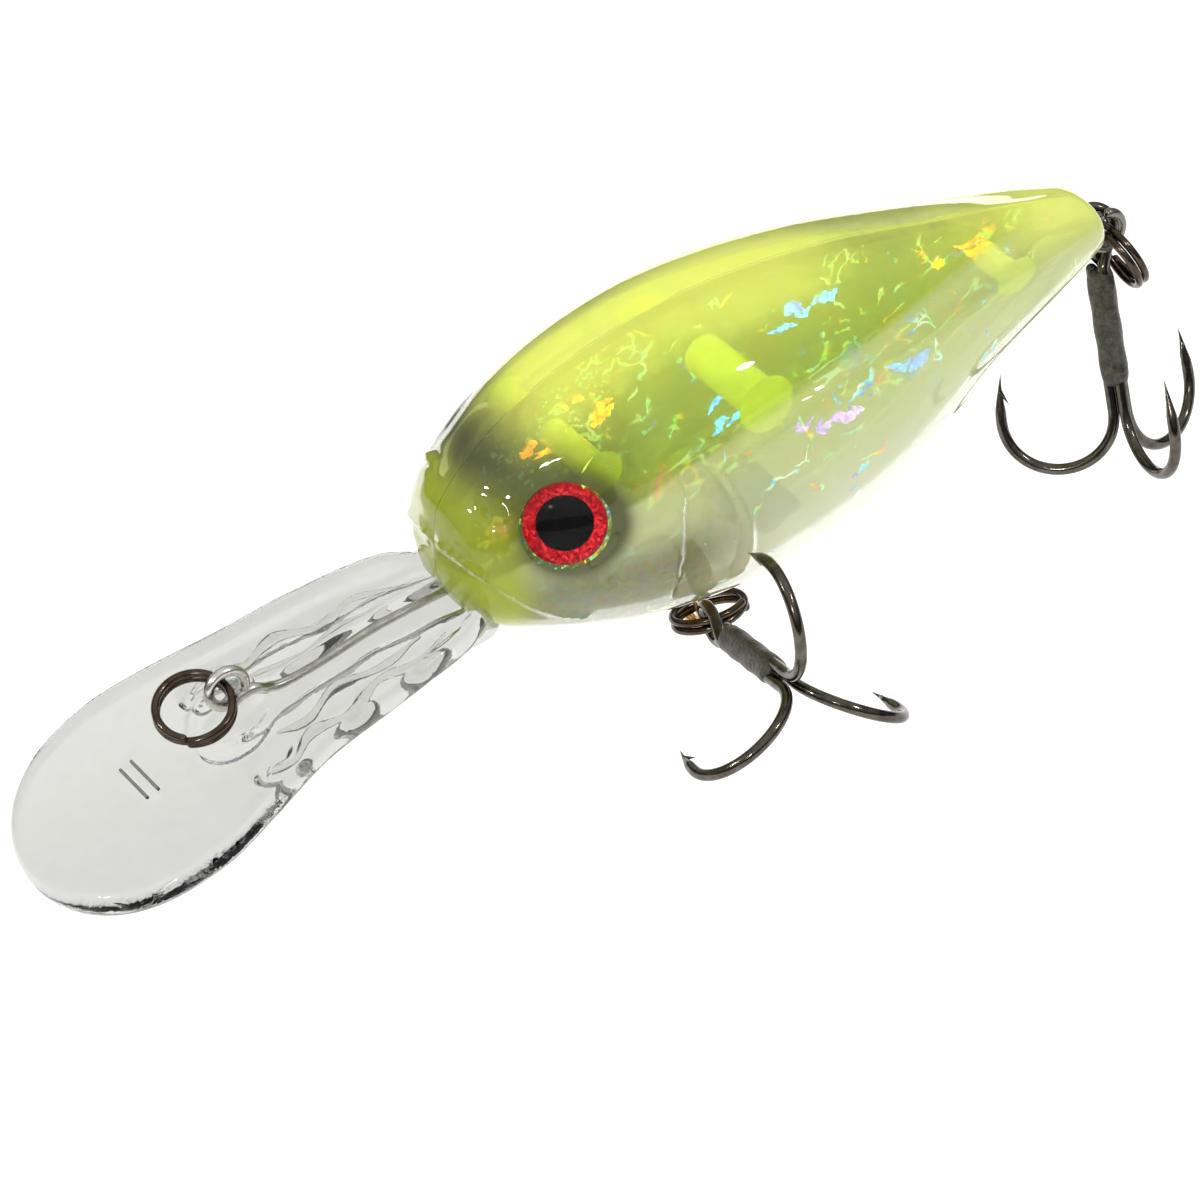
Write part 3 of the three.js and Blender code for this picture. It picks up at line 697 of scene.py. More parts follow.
def relief(x, y, z):
    """How far the outer skin stands proud: the flank ridge, gill plate, mouth, nostril and eye rim."""
    above = z - ridge_height(x)
    along = smooth(x, 12, 17) * smooth(x, 55.5, 51)
    high = along * (0.30 * hump(above, 0.55) - 0.22 * hump(above + 1.7, 1.2))
    front, rear = 14.25 + 0.11 * z, 19.2 - 1.8 * ((z + 1) / 6.5) ** 2
    inside = smooth(x - front, -0.1, 0.35) * smooth(rear - x, -0.1, 0.35)
    inside = inside * smooth(z, GILL_LOW, GILL_LOW + 1.4) * smooth(z, GILL_TOP, GILL_TOP - 1.2)
    high = high + 0.42 * inside
    high = high - 0.25 * hump(x - rear - 0.35, 0.3) * smooth(z, GILL_LOW, GILL_LOW + 1) * smooth(z, GILL_TOP, 5.4)
    high = high - 0.30 * hump(distance_to_line(x, z, MOUTH), 0.28)
    high = high + 0.16 * hump(distance_to_line(x, z + 0.75, MOUTH), 0.45)
    nostril = np.hypot(x - NOSTRIL[0], z - NOSTRIL[1])
    high = high - 0.35 * hump(nostril, 0.32) + 0.10 * hump(nostril - 0.7, 0.25)
    off = np.stack([x, -np.abs(y), z], -1) - EYE_CENTRE
    axial = off @ EYE_NORMAL
    radial = np.sqrt(np.maximum((off ** 2).sum(-1) - axial ** 2, 0))
    high = high + 0.20 * hump(radial - SOCKET_R - 0.9, 0.6)
    fade = smooth(y, 0.0, 1.2)
    return high * fade


def shell_half(name, side, materials):
    angle = np.linspace(np.pi / 2, -np.pi / 2, SHELL_COLUMNS)
    x = shell_x()
    outer = flank(x, angle, 0.0)
    outer = outer + normals_of(outer) * relief(*np.moveaxis(outer, -1, 0))[..., None]
    outer[:, [0, -1], 1] = SEAM
    inner_x = np.interp(x, [0, BODY_LENGTH], [1.8, BODY_LENGTH - 3.2])
    ends = np.sqrt(np.clip(1 - np.clip(1 - (inner_x - 1.8) / 1.5, 0, 1) ** 2, 0, 1)
                   * np.clip(1 - np.clip(1 - (BODY_LENGTH - 3.2 - inner_x) / 1.5, 0, 1) ** 2, 0, 1))
    inner = flank(inner_x, angle, WALL)
    middle = inner[:, [0, -1], :].mean(1, keepdims=True)
    inner[..., 1:] = middle[..., 1:] + (inner - middle)[..., 1:] * np.maximum(ends, 0.004)[:, None, None]
    inner[..., 1] = np.maximum(inner[..., 1], SEAM)
    off = inner * [1, -1, 1] - EYE_CENTRE
    axial = off @ EYE_NORMAL
    radial = np.sqrt(np.maximum((off ** 2).sum(-1) - axial ** 2, 0))
    seat = np.maximum(axial + SOCKET_DEPTH + 1.0, 0) * smooth(radial, SOCKET_R + 1.6, SOCKET_R + 0.4)
    inner = inner - (EYE_NORMAL * [1, -1, 1]) * np.where(axial > -SOCKET_DEPTH - 4, seat, 0)[..., None]
    inner[..., 1] = np.maximum(inner[..., 1], SEAM)

    rows, columns = outer.shape[:2]
    count = rows * columns
    points = np.vstack([outer.reshape(-1, 3), inner.reshape(-1, 3)])
    outer_faces = grid_faces(rows, columns, flip=True)
    inner_faces = grid_faces(rows, columns, start=count)
    rim = []
    for i in range(rows - 1):
        for j, turned in ((0, False), (columns - 1, True)):
            a, b = i * columns + j, (i + 1) * columns + j
            quad = (a, b, b + count, a + count)
            rim.append(quad[::-1] if turned else quad)
    for i, turned in ((0, True), (rows - 1, False)):
        for j in range(columns - 1):
            a, b = i * columns + j, i * columns + j + 1
            quad = (a, b, b + count, a + count)
            rim.append(quad[::-1] if turned else quad)
    faces = outer_faces + inner_faces + rim
    welded = 2 * (rows - 1)
    kinds = [0] * len(outer_faces) + [1] * len(inner_faces) + [2] * welded + [1] * (len(rim) - welded)
    points[:, 1] *= side
    if side > 0:
        faces = [f[::-1] for f in faces]
    half = mesh_object(name, points, faces, materials, kinds, 50)
    cut_socket(half, side)
    return half


def mirrored(point, side):
    return np.asarray(point) * [1, -side, 1]


def cut_socket(half, side):
    """Cuts the round seat of the eye."""
    profile = [(0.01, -SOCKET_DEPTH), (SOCKET_R - 0.25, -SOCKET_DEPTH), (SOCKET_R - 0.07, -SOCKET_DEPTH + 0.07),
               (SOCKET_R, -SOCKET_DEPTH + 0.25), (SOCKET_R, -0.2), (SOCKET_R + 0.05, 0.3), (SOCKET_R + 0.5, 1.6),
               (0.01, 1.6)]
    points, faces = lathe(profile, mirrored(EYE_CENTRE, side), mirrored(EYE_NORMAL, side), 96)
    cutter = mesh_object("eye_socket_cutter", points, faces, [half.data.materials[0]])
    cut = half.modifiers.new("socket", "BOOLEAN")
    cut.object = cutter
    cut.operation = "DIFFERENCE"
    cut.solver = "EXACT"
    graph = bpy.context.evaluated_depsgraph_get()
    made = bpy.data.meshes.new_from_object(half.evaluated_get(graph))
    half.modifiers.clear()
    half.data = made
    soften(made, 40)
    bpy.data.objects.remove(cutter)


def make_shell():
    skin, clear = painted_plastic(), clear_plastic("clear_plastic", (0.97, 0.985, 0.90), 0.04, SHELL_IOR)
    seam = welded_seam()
    for name, side in (("left_shell", -1), ("right_shell", 1)):
        half = shell_half(name + "_skin", side, [skin, clear, seam])
        keep(half, "lure_body", "tinted_clear_plastic", name)
    plastic = post_plastic()
    for index, (x, z, r) in enumerate(PINS):
        for word, side in (("left", -1), ("right", 1)):
            top, bottom, half = along_table(BODY_STATIONS, np.array(x))
            waist = bottom + WAIST * (top - bottom)
            share = abs(z - waist) / (top - waist)
            reach = half * (1 - share ** UPPER_ROUNDNESS) ** (1 / UPPER_ROUNDNESS) - WALL * 0.9
            profile = rounded_profile(r, 0.15, float(reach), 0.18)
            profile[-3:-1] = [(r + 0.25, float(reach) - 0.25), (r + 0.6, float(reach))]
            points, faces = lathe(profile, (x, 0, z), (0, side, 0), 40)
            post = mesh_object(f"{word}_locating_post_{index + 1}", points, faces, [plastic])
            keep(post, "lure_body", "tinted_clear_plastic")


# ---- inner film and ballast ----
def crinkle(x, z):
    """Height of the film's creases."""
    waves = ((0.9, 0.5, 0.3, 0.12), (-0.5, 1.1, 1.7, 0.10), (1.7, -0.9, 2.9, 0.06), (0.4, 2.3, 4.1, 0.05),
             (2.6, 1.3, 0.8, 0.035))
    return sum(a * (2 * np.abs(((u * x + v * z + p) / 4.0) % 1.0 - 0.5) - 0.5) for u, v, p, a in waves)


def make_film():
    rows, columns = 150, 60
    x = np.linspace(3.2, BODY_LENGTH - 4.6, rows)
    top, bottom, _ = along_table(BODY_STATIONS, x)
    inset = WALL + 0.45
    pinched = 0.12
    blunt = np.sqrt(np.clip(1 - np.clip(1 - (x - 3.2) / 3.5, 0, 1) ** 2, 0.02, 1))
    middle = (top + bottom) / 2
    top = middle + (top - pinched - middle) * blunt
    bottom = middle + (bottom + inset - middle) * blunt
    share = np.linspace(0, 1, columns)
    z = bottom[:, None] + (top - bottom)[:, None] * share
    x = np.broadcast_to(x[:, None], z.shape)
    y = crinkle(x, z) * smooth(share, 0.90, 0.76)
    half = 0.012 + 0.038 * smooth(share, 0.90, 0.80)
    near = np.stack([x, y - half, z], -1).reshape(-1, 3)
    far = np.stack([x, y + half, z], -1).reshape(-1, 3)
    count = rows * columns
    faces = grid_faces(rows, columns) + grid_faces(rows, columns, start=count, flip=True)
    border = [i * columns for i in range(rows)] + [(rows - 1) * columns + j for j in range(1, columns)]
    border += [i * columns + columns - 1 for i in range(rows - 2, -1, -1)] + [j for j in range(columns - 2, 0, -1)]
    for a, b in zip(border, border[1:] + border[:1]):
        faces.append((b, a, a + count, b + count))
    kinds = [0] * len(faces)
    for row in range(2 * (rows - 1)):
        last = (row + 1) * (columns - 1)
        kinds[last - 2:last] = [1, 1]
    kinds[2 * (rows - 1) * (columns - 1):] = [1] * (len(faces) - 2 * (rows - 1) * (columns - 1))
    film = mesh_object("creased_film", np.vstack([near, far]), faces, [hologram_film(), film_edge()], kinds, 60)
    keep(film, "lure_body", "holographic_film", "inner_film")
    rng = np.random.default_rng(FOLD_SEED)
    for word, (glow, low, high, zones) in FILM_FOLDS.items():
        parts = []
        for width, line in fold_strokes(zones, rng):
            route = curve_through([(a, 0.0, b) for a, b in line], 10)
            along = np.linspace(0, 1, len(route))
            radii = 1.25 * width * (0.12 + np.sin(np.pi * along) * (0.75 + 0.25 * np.sin(29 * along + line[0][0])))
            for side in (-1, 1):
                ridge = route + [0, side * 0.06, 0]
                ridge[:, 1] += crinkle(ridge[:, 0], ridge[:, 2])
                parts.append(closed_loft(sweep(ridge, radii, 8)))
        points, faces = joined(parts)
        keep(mesh_object(f"{word}_film_folds", points, faces, [glowing_fold_glint(word, glow, low, high)]), "lure_body",
             "holographic_film")


# painted glints, lit folds of the film that glow: glow, colour at each end, and the zones they lie in. A zone is its
# middle x and z, its reach along x and z, the number of folds, and their slope in degrees.
FOLD_SEED = 5
FILM_FOLDS = {
    "warm": (4.5, (1.0, 0.13, 0.0), (1.0, 0.50, 0.02), [
        (11, 7, 5, 2, 6, 10),
        (45, 6, 3, 1, 3, -10),
    ]),
    "cool": (7.0, (0.03, 0.12, 1.0), (0.06, 0.34, 1.0), [
        (24, 3, 2, 2, 3, 45),
        (32, 7, 4, 1, 4, -15),
        (39, -2, 3, 1, 2, -10),
    ]),
    "violet": (6.0, (0.22, 0.08, 1.0), (0.45, 0.25, 1.0), [
        (33, -3, 4, 1, 4, -20),
    ]),
}
FOLD_WANDER = 0.3
FOLD_LENGTHS = (0.8, 3.4)
FOLD_WIDTHS = (0.20, 0.38)


def fold_strokes(zones, rng):
    """Width and x, z points of each fold: short strokes scattered over their zone, kept on the film."""
    for x, z, reach_x, reach_z, count, slope in zones:
        for _ in range(count):
            heading = math.radians(slope + rng.normal(0, 16))
            along = rng.uniform(*FOLD_LENGTHS) * np.linspace(-0.5, 0.5, 4)
            aside = rng.normal(0, FOLD_WANDER, 4)
            line_x = x + reach_x * rng.uniform(-1, 1) + along * math.cos(heading) - aside * math.sin(heading)
            line_z = z + reach_z * rng.uniform(-1, 1) + along * math.sin(heading) + aside * math.cos(heading)
            top, bottom, _ = along_table(BODY_STATIONS, line_x)
            line_z = np.clip(line_z, bottom + WALL + 1.0, top - 1.2)
            yield rng.uniform(*FOLD_WIDTHS), np.stack([line_x, line_z], -1)


def make_ballast():
    half = BALLAST["length"] / 2
    profile = rounded_profile(BALLAST["r"], -half, half, 0.35)
    points, faces = lathe(profile, (BALLAST["x"], 0, BALLAST["z"]), (0, 1, 0), 64)
    slug = mesh_object("ballast_slug", points, faces, [ballast_metal()])
    keep(slug, "lure_body", "ballast_metal", "ballast_weight")


# ---- diving lip ----
LIP_RIBS = [
    [(2, 3.2), (-4, 4.4), (-10, 5.1), (-14.5, 5.7), (-16.6, 6.2), (-17.6, 5.4), (-16.9, 4.4), (-15.6, 4.5)],
]
TICK = dict(x=-24.7, half_width=0.45, half_length=1.9)
UNDER_RIBS = [
    (0.42, [(-1.5, 3.2), (-4.5, 4.7), (-7.5, 4.0), (-10.5, 5.4), (-13.5, 4.8), (-15.6, 6.1), (-17.2, 5.6)]),
    (0.34, [(-3.0, 1.9), (-6.5, 2.9), (-10.0, 2.1), (-13.0, 3.4), (-15.0, 2.6)]),
]


def lip_half_width(ahead):
    """Half width of the lip at a distance ahead of the nose."""
    _, half = along_table(LIP_STATIONS, ahead)
    share = np.clip((ahead - LIP_WIDEST) / (LIP_REACH - LIP_WIDEST), 0, 1)
    tip = LIP_HALF_WIDTH * np.sqrt(np.clip(1 - share ** LIP_POWER, 0, 1))
    return np.where(ahead < LIP_WIDEST, half, tip)


def lip_edge_distance(ahead, y):
    """Rough distance of a point of the lip from its outline."""
    span = LIP_REACH - LIP_WIDEST
    share = np.clip((ahead - LIP_WIDEST) / span, 0, 1)
    left = 1 - share ** LIP_POWER - (y / LIP_HALF_WIDTH) ** 2
    slope = np.hypot(LIP_POWER / span * share ** (LIP_POWER - 1), 2 * y / LIP_HALF_WIDTH ** 2)
    tip = left / np.maximum(slope, 1e-3)
    return np.where(ahead < LIP_WIDEST, lip_half_width(ahead) - np.abs(y), tip)


def make_lip():
    turn = np.linspace(0, np.pi / 2, 120)
    ahead = np.concatenate([np.linspace(-6, LIP_WIDEST, 190)[:-1], LIP_WIDEST + (LIP_REACH - LIP_WIDEST) * np.sin(turn)])
    ahead = ahead[:-1]
    across = np.cos(np.linspace(np.pi, 0, 121))
    half = np.maximum(lip_half_width(ahead), 0.02)
    y = half[:, None] * across
    u = np.broadcast_to(ahead[:, None], y.shape)
    x = -u
    top, _ = along_table(LIP_STATIONS, u)
    cup = 1 - (y / half[:, None]) ** 2
    inner_edge = np.clip(lip_edge_distance(u, y) / LIP_EDGE, 0, 1)
    edge = np.sqrt(np.clip(1 - (1 - inner_edge) ** 2, 0, 1))
    end = np.sqrt(np.clip(1 - np.clip(1 - (u + 6) / 0.8, 0, 1) ** 2, 0, 1))
    edge = np.maximum(edge * end, 0.0)
    middle = top - LIP_THICKNESS / 2
    away = smooth(edge, 0.6, 1.0)

    boss = hump(y, 0.75) * smooth(x, -17.5, -14.5) * smooth(x, 4, 0)
    boss = boss * (1 + 0.25 * np.sin(0.9 * x) * np.sin(0.37 * x + 1))
    eye_ring = hump(np.hypot(x - LINE_TIE[0], y) - 2.9, 0.35)
    pad = smooth(np.hypot(x - LINE_TIE[0], y), 2.9, 2.2)
    bar = smooth(np.abs(x - TICK["x"]), TICK["half_width"] + 0.12, TICK["half_width"] - 0.12)
    bar = bar * smooth(np.abs(y), TICK["half_length"] + 0.12, TICK["half_length"] - 0.12)
    ribs = np.zeros_like(y)
    for line in LIP_RIBS:
        route = curve_through([(a, b, 0) for a, b in line], 6)[:, :2]
        ribs = np.maximum(ribs, hump(distance_to_line(x, np.abs(y), route), 0.62))
    ribs = ribs * (1 + 0.25 * np.sin(0.8 * x + 0.5))
    neck = smooth(x, -9, -2) * smooth(np.abs(y), 1.0, 3.6) * smooth(half[:, None] - np.abs(y), 0.6, 2.0)
    up = 0.60 * boss + 0.42 * eye_ring - 0.28 * pad + 0.60 * bar - 0.55 * neck
    down = 1.35 * boss + 1.25 * ribs + 0.35 * pad
    z_top = middle + (LIP_THICKNESS / 2) * edge - 0.25 * cup * away + up * away
    z_low = middle - (LIP_THICKNESS / 2) * edge - 0.45 * cup * away - down * away
    upper = np.stack([x, y, z_top], -1)
    lower = np.stack([x, y, z_low], -1)
    rings = np.concatenate([upper, lower[:, -2:0:-1]], axis=1)
    points, faces = closed_loft(rings)
    lip = mesh_object("clear_lip", points, faces, [clear_plastic("lip_plastic", (0.55, 0.555, 0.53), 0.16, 1.24)],
                      smooth_angle=70)
    keep(lip, "lure_body", "clear_lip_plastic", "diving_lip")

    def face_height(x, y, below):
        top, _ = along_table(LIP_STATIONS, -x)
        cup = 1 - (y / lip_half_width(-x)) ** 2
        return top - below * LIP_THICKNESS - (0.45 if below else 0.25) * cup

    parts = []
    for radius, line in UNDER_RIBS:
        for side in (-1, 1):
            route = curve_through([(a, side * b, 0.0) for a, b in line], 10)
            route[:, 2] = face_height(route[:, 0], route[:, 1], 1) - 0.15
            wobble = 1 + 0.25 * np.sin(1.7 * route[:, 0] + side)
            ends = np.sin(np.pi * np.linspace(0.04, 0.96, len(route))) ** 0.4
            parts.append(closed_loft(sweep(route, radius * wobble * ends, 14)))
    points, faces = joined(parts)
    ribs = mesh_object("lip_under_ribs", points, faces, [clear_plastic("rib_plastic", (0.86, 0.865, 0.85), 0.1, 1.40)])
    keep(ribs, "lure_body", "clear_lip_plastic")
    parts = []
    for x in (TICK["x"] - TICK["half_width"], TICK["x"] + TICK["half_width"]):
        rail = np.array([[x, y, 0.0] for y in np.linspace(-TICK["half_length"], TICK["half_length"], 24)])
        rail[:, 2] = face_height(rail[:, 0], rail[:, 1], 0) + 0.55
        parts.append(wire(rail, 0.13, 12))
    points, faces = joined(parts)
    rails = mesh_object("lip_bar_rails", points, faces, [clear_plastic("rail_plastic", (0.30, 0.31, 0.28), 0.1, 1.40)])
    keep(rails, "lure_body", "clear_lip_plastic")


# ---- wires ----
def loop_and_leg(centre, first, second, leg, open_angle=40):
    """A wire that goes round an eye and runs off along its leg. first and second span the eye's plane."""
    turn = np.radians(np.linspace(open_angle, 360 + 8, 40))
    loop = centre + HANGER_LOOP_R * (np.cos(turn)[:, None] * first + np.sin(turn)[:, None] * second)
    return np.vstack([loop, curve_through([loop[-1], *leg], 8)[1:]])


def make_wires():
    bright = plated_metal("bright_wire", (0.50, 0.48, 0.44), (0.74, 0.72, 0.68), 0.20)
    dull = plated_metal("dull_wire", (0.16, 0.15, 0.13), (0.30, 0.28, 0.25), 0.26)
    golden = plated_metal("brass_wire", (0.55, 0.33, 0.10), (0.78, 0.55, 0.22), 0.24)
    ex, ey, ez = np.eye(3)
    tie_leg = [LINE_TIE + [1.9, 0, -1.0], LINE_TIE + [3.4, 0, -1.75], [-11, 0, -3.4], [-5, 0, -2.5], [4.5, 0, -2.3]]
    belly_leg = [BELLY_EYE + [0, 0.15, 2.4], [BELLY_EYE[0], 0, -8.6], [BELLY_EYE[0] + 0.6, 0, -7.4],
                 [BELLY_EYE[0] + 2.2, 0, -7.0]]
    tail_leg = [TAIL_EYE + [-1.2, 0, 1.65], [55.2, 0, 3.9], [51.5, 0, 4.4], [50.4, 0, 3.6]]
    for name, line, material, slot, node in (
        ("line_tie_eye", loop_and_leg(LINE_TIE, unit(ex * 0.5 - ez * 0.85), unit(ex * 0.85 + ez * 0.5), tie_leg),
         bright, "bright_wire", "line_tie_wire"),
        ("belly_hanger_eye", loop_and_leg(BELLY_EYE, ez, ey, belly_leg), golden, "brass_wire", "belly_hanger"),
        ("tail_hanger_eye", loop_and_leg(TAIL_EYE, unit(ez - 0.4 * ex), unit(ex + 0.4 * ez), tail_leg),
         dull, "bright_wire", "tail_hanger"),
    ):
        points, faces = wire(line, HANGER_WIRE_R, 18)
        keep(mesh_object(name, points, faces, [material]), "lure_body", slot, node)


# ---- eyes ----
def make_eyes():
    clear = clear_plastic("eye_resin", (0.97, 0.97, 0.97), 0.02, 1.14, 0.05)
    floor = -SOCKET_DEPTH + 0.1
    for word, side in (("left", -1), ("right", 1)):
        centre, normal = mirrored(EYE_CENTRE, side), mirrored(EYE_NORMAL, side)
        disc = [(0.01, floor), (EYE_R, floor + 0.02), (EYE_R, floor + 0.32), (EYE_R * 0.93, floor + 0.36),
                (EYE_R * 0.70, floor + 0.30), (EYE_R * 0.66, floor + 0.24), (0.01, floor + 0.24)]
        points, faces = lathe(disc, centre, normal, 96)
        foil = mesh_object(f"{word}_iris", points, faces, [iris_foil(f"{word}_iris_foil", centre + normal * floor)])
        keep(foil, "lure_body", "iris_foil", f"{word}_eye_foil")
        base, rim, rise = floor + 0.40, 0.12, 1.25
        turn = np.linspace(0, np.pi / 2, 22)
        dome = [(0.01, base), (EYE_R - 0.05, base), (EYE_R, base + 0.05)]
        dome += [(max(EYE_R * math.cos(a), 0.01), base + rim + rise * math.sin(a)) for a in turn]
        points, faces = lathe(dome, centre, normal, 96)
        lens = mesh_object(f"{word}_eye_lens", points, faces, [clear])
        keep(lens, "lure_body", "eye_resin", f"{word}_eye_dome")


# ---- split rings ----
def ring_frame(eye, outward, normal):
    side = np.cross(normal, outward)
    return dict(centre=eye + outward * RING_R, outward=outward, side=side, normal=normal)


def ring_wire(ring):
    """Two turns of wire side by side, crossing over half way."""
    t = np.linspace(0, 1, 260)
    a = 4 * np.pi * t * 0.985 + 0.9
    lift = RING_PITCH * smooth(t, 0.4, 0.6) - RING_PITCH / 2
    line = (ring["centre"] + RING_R * (np.cos(a)[:, None] * ring["outward"] + np.sin(a)[:, None] * ring["side"])
            + lift[:, None] * ring["normal"])
    return wire(line, RING_WIRE_R, 14)


def turned(v, axis, degrees):
    return np.array(Matrix.Rotation(math.radians(degrees), 3, Vector(axis)) @ Vector(v))


def degrees_frame(tilt):
    return math.cos(math.radians(tilt)), math.sin(math.radians(tilt))


BELLY_RING_TILT = -20
TAIL_RING_TILT = 20
LINE_RING_TILT = 8
LINE_RING_ROLL = 18


def rings():
    c, s = degrees_frame(LINE_RING_TILT)
    line = ring_frame(LINE_TIE, np.array([-c, 0, -s]), turned((-s, 0, c), (1, 0, 0), LINE_RING_ROLL))
    c, s = degrees_frame(BELLY_RING_TILT)
    belly = ring_frame(BELLY_EYE, np.array([0, -c, -s]), np.array([0, -s, c]))
    c, s = degrees_frame(TAIL_RING_TILT)
    tail = ring_frame(TAIL_EYE, np.array([s, 0, -c]), np.array([c, 0, s]))
    return dict(line=line, belly=belly, tail=tail)


# ---- treble hooks, with the eye at their origin and the shank along -Z ----
def hook_line():
    """Centre line of one hook from the top of its shank to its point, and the wire's radii."""
    r = HOOK_GAPE / 2
    bend = HOOK_SPREAD_R + r
    shank = [(HOOK_SPREAD_R, z) for z in np.linspace(-3.1, -HOOK_SHANK, 22, endpoint=False)]
    arc = [(bend - r * math.cos(a), -HOOK_SHANK - r * math.sin(a) * (1 - 0.04 * math.sin(a)))
           for a in np.linspace(0, np.pi, 34)]
    rise = np.linspace(0, 1, 22)[1:]
    point = [(HOOK_SPREAD_R + HOOK_GAPE - 0.10 * t - 0.38 * t * t, -HOOK_SHANK + HOOK_POINT_RISE * t) for t in rise]
    line = np.array([(x, 0, z) for x, z in shank + arc + point])
    radii = np.full(len(line), HOOK_WIRE_R)
    taper = 1 - smooth(rise, 0.0, 1.25) * 1.02
    radii[-len(rise):] = np.maximum(HOOK_WIRE_R * np.minimum(1.0, 1.28 * (1 - rise) ** 0.75), 0.012) * (0.4 + 0.6 * taper)
    radii[-1] = 0.01
    return line, radii


def barb():
    """A thin fin cut up from the point, on its inner side."""
    root = np.array([HOOK_SPREAD_R + HOOK_GAPE - 0.22, 0, -HOOK_SHANK + 2.5])
    tip = root + np.array([-0.52, 0, -1.05])
    line = np.linspace(root, tip, 8)
    return closed_loft(sweep(line, np.linspace(0.20, 0.015, 8), 10))


def spin(points, degrees):
    c, s = math.cos(math.radians(degrees)), math.sin(math.radians(degrees))
    return np.asarray(points) @ np.array([[c, s, 0], [-s, c, 0], [0, 0, 1]])


def double_hook(hole):
    """One wire: a point, its bend and shank, round the eye and down to the second hook."""
    line, radii = hook_line()
    side = np.array([-math.sin(math.radians(hole)), math.cos(math.radians(hole)), 0])
    first, second = 120, -120
    if spin(line[:1], first)[0].dot(side) < 0:
        first, second = second, first
    a, b = spin(line, first), spin(line, second)
    turn = np.radians(np.linspace(128, -128, 40))
    loop = HOOK_EYE_R * (np.sin(turn)[:, None] * side + np.cos(turn)[:, None] * np.array([0, 0, 1]))
    up = curve_through([a[1], a[0], loop[0], loop[2]], 8)[8:16]
    down = curve_through([loop[-3], loop[-1], b[0], b[1]], 8)[9:17]
    whole = np.vstack([a[::-1][:-1], up, loop[1:-1], down, b[1:]])
    middle = len(whole) - len(radii) * 2 + 2
    radii = np.concatenate([radii[::-1][:-1], np.full(middle, HOOK_WIRE_R), radii[1:]])
    shape = closed_loft(sweep(whole, radii, 16))
    barbs = [(spin(p, turn), f) for p, f in [barb()] for turn in (first, second)]
    return joined([shape, *barbs])


def single_hook():
    line, radii = hook_line()
    line, ends = with_round_ends(line, HOOK_WIRE_R, True, False)
    radii = np.concatenate([ends[:len(line) - len(radii)], radii])
    return joined([closed_loft(sweep(line, radii, 16)), barb()])


def braze():
    """Hard solder that fills the valleys between the three shanks."""
    heights = np.linspace(-3.05, -12.05, 60)
    turn = np.linspace(0, 2 * np.pi, 48, endpoint=False)
    rings_made = []
    for z in heights:
        ends = math.sqrt(max(1 - max(0.0, (abs(z + 7.55) - 3.6) / 0.9) ** 2, 0.0))
        radius = (0.55 + 0.47 * ends) * (1 + 0.07 * np.cos(3 * turn)) + 0.03 * np.sin(2.3 * z + turn * 2)
        rings_made.append(np.stack([radius * np.cos(turn), radius * np.sin(turn), np.full_like(turn, z)], -1))
    return closed_loft(np.array(rings_made)[::-1])


def treble_pieces(prefix, ring, ring_angle, shank, first_hook):
    a = math.radians(ring_angle)
    at = ring["centre"] + RING_R * (math.cos(a) * ring["outward"] + math.sin(a) * ring["side"])
    tangent = -math.sin(a) * ring["outward"] + math.cos(a) * ring["side"]
    z = -unit(shank)
    x = unit(np.asarray(first_hook) - z * np.dot(unit(first_hook), z))
    y = np.cross(z, x)
    hole = math.degrees(math.atan2(tangent @ y, tangent @ x))
    turn = np.stack([x, y, z])
    return {f"{prefix}_treble_double": double_hook(hole), f"{prefix}_treble_single": single_hook(),
            f"{prefix}_treble_braze": braze()}, turn, at


def make_tackle():
    nickel = plated_metal("black_nickel", (0.055, 0.047, 0.038), (0.14, 0.125, 0.105), 0.13, 0.12)
    dark = plated_metal("ring_nickel", (0.045, 0.032, 0.023), (0.11, 0.085, 0.065), 0.16, 0.15)
    solder = braze_metal()
    hung = rings()
    for key, body in (("line", "line_ring"), ("belly", "belly_split_ring"), ("tail", "tail_split_ring")):
        points, faces = ring_wire(hung[key])
        node = "line_tie_ring" if key == "line" else key + "_ring"
        keep(mesh_object(node + "_coil", points, faces, [dark]), body, "black_nickel", node)
    for prefix, angle, shank, first in (
        ("belly", -25, (-0.145, -0.948, 0.284), (0.101, 0.271, 0.957)),
        ("tail", 130, (-0.137, -0.345, -0.929), (-0.787, 0.607, -0.11)),
    ):
        pieces, turn, at = treble_pieces(prefix, hung[prefix], angle, unit(shank), unit(first))
        for node, (points, faces) in pieces.items():
            soldered = node.endswith("braze")
            obj = mesh_object(node + "_wire", points @ turn + at, faces, [solder if soldered else nickel])
            keep(obj, prefix + "_hook", "brazed_steel" if soldered else "black_nickel", node)


# ---- studio ----
CAMERA_AT = Vector((-126.0, -295.7, 249.1)) * MM
CAMERA_RIGHT = Vector((0.838, -0.535, -0.110))
CAMERA_BACK = Vector((-0.369, -0.702, 0.609))
LENS = 178.5


def make_camera():
    data = bpy.data.cameras.new("camera")
    data.lens, data.sensor_width = LENS, 36.0
    data.clip_start, data.clip_end = 0.01, 20.0
    camera = bpy.data.objects.new("camera", data)
    back = CAMERA_BACK.normalized()
    up = back.cross(CAMERA_RIGHT).normalized()
    right = up.cross(back)
    camera.matrix_world = Matrix.Translation(CAMERA_AT) @ Matrix((right, up, back)).transposed().to_4x4()
    bpy.context.scene.collection.objects.link(camera)
    bpy.context.scene.camera = camera


def add_light(name, at, aim, size, power, mirrored_by_gloss):
    data = bpy.data.lights.new(name, "AREA")
    data.shape, data.size, data.energy = "DISK", size, power
    light = bpy.data.objects.new(name, data)
    light.location = at
    light.visible_glossy = mirrored_by_gloss
    light.rotation_euler = (Vector(aim) - Vector(at)).to_track_quat("-Z", "Y").to_euler()
    bpy.context.scene.collection.objects.link(light)


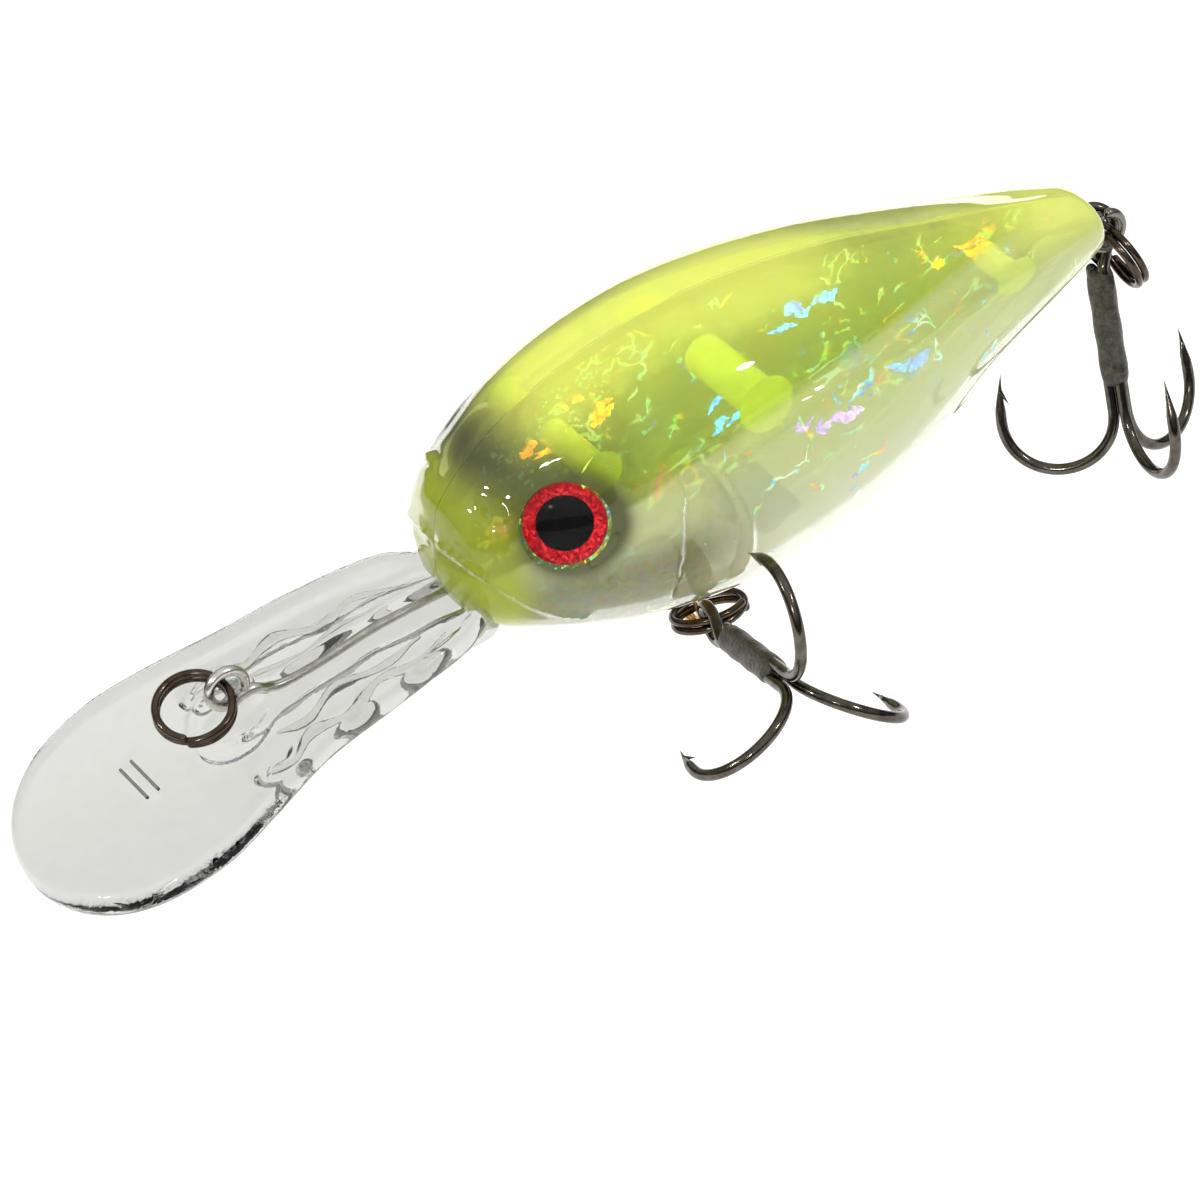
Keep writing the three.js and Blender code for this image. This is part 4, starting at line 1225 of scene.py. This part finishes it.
def make_studio():
    middle = (CAD_BOX[0] + CAD_BOX[1]) / 2
    ground = CAD_BOX[0].z - 0.03
    reach = 1.0
    floor = mesh_object("floor", np.array([[-reach, -reach, 0], [reach, -reach, 0], [reach, reach, 0],
                        [-reach, reach, 0]]) / MM + LINE_TIE, [(0, 1, 2, 3)], [])
    floor.location.z = ground
    s = Shader("pale_floor")
    paper = s.noise(0.02, 3.0)
    s.finish(s.principled(Base_Color=s.ramp(paper, (0.3, (0.90, 0.90, 0.90)), (0.7, (0.93, 0.93, 0.93))),
                          Roughness=0.9, Emission_Color=(1, 1, 1), Emission_Strength=0.27))
    floor.data.materials.append(s.material)

    world = bpy.data.worlds.new("studio")
    bpy.context.scene.world = world
    world.use_nodes = True
    nodes, links = world.node_tree.nodes, world.node_tree.links
    nodes.clear()
    direction = nodes.new("ShaderNodeTexCoord")
    split = nodes.new("ShaderNodeSeparateXYZ")
    band = nodes.new("ShaderNodeValToRGB")
    sky = nodes.new("ShaderNodeBackground")
    output = nodes.new("ShaderNodeOutputWorld")
    stops = band.color_ramp.elements
    stops[0].position, stops[0].color = 0.12, (0.13, 0.13, 0.135, 1)
    stops[1].position, stops[1].color = 0.75, (1.0, 1.0, 1.0, 1)
    links.new(direction.outputs["Generated"], split.inputs[0])
    links.new(split.outputs[2], band.inputs[0])
    links.new(band.outputs[0], sky.inputs["Color"])
    pale = nodes.new("ShaderNodeBackground")
    seen = nodes.new("ShaderNodeLightPath")
    either = nodes.new("ShaderNodeMixShader")
    links.new(seen.outputs["Is Camera Ray"], either.inputs[0])
    links.new(sky.outputs[0], either.inputs[1])
    links.new(pale.outputs[0], either.inputs[2])
    links.new(either.outputs[0], output.inputs["Surface"])
    sky.inputs["Strength"].default_value = 0.8

    add_light("key", middle + Vector((-0.30, -0.10, 0.90)), middle, 1.0, 1.8, False)
    add_light("rim", middle + Vector((0.50, 0.45, 0.60)), middle, 0.6, 0.8, False)
    for index, (x, y, z) in enumerate([(-0.50, -0.50, 0.50), (-0.62, 0.20, 0.50), (0.35, -0.45, 0.65)]):
        add_light(f"spark_{index + 1}", middle + Vector((x, y, z)), middle, 0.07, 1.5, True)
    scene = bpy.context.scene
    scene.view_settings.view_transform = "Standard"
    scene.cycles.max_bounces = 16
    scene.cycles.transmission_bounces = 14
    scene.cycles.transparent_max_bounces = 16


make_camera()
make_shell()
make_film()
make_ballast()
make_lip()
make_wires()
make_eyes()
make_tackle()
make_studio()
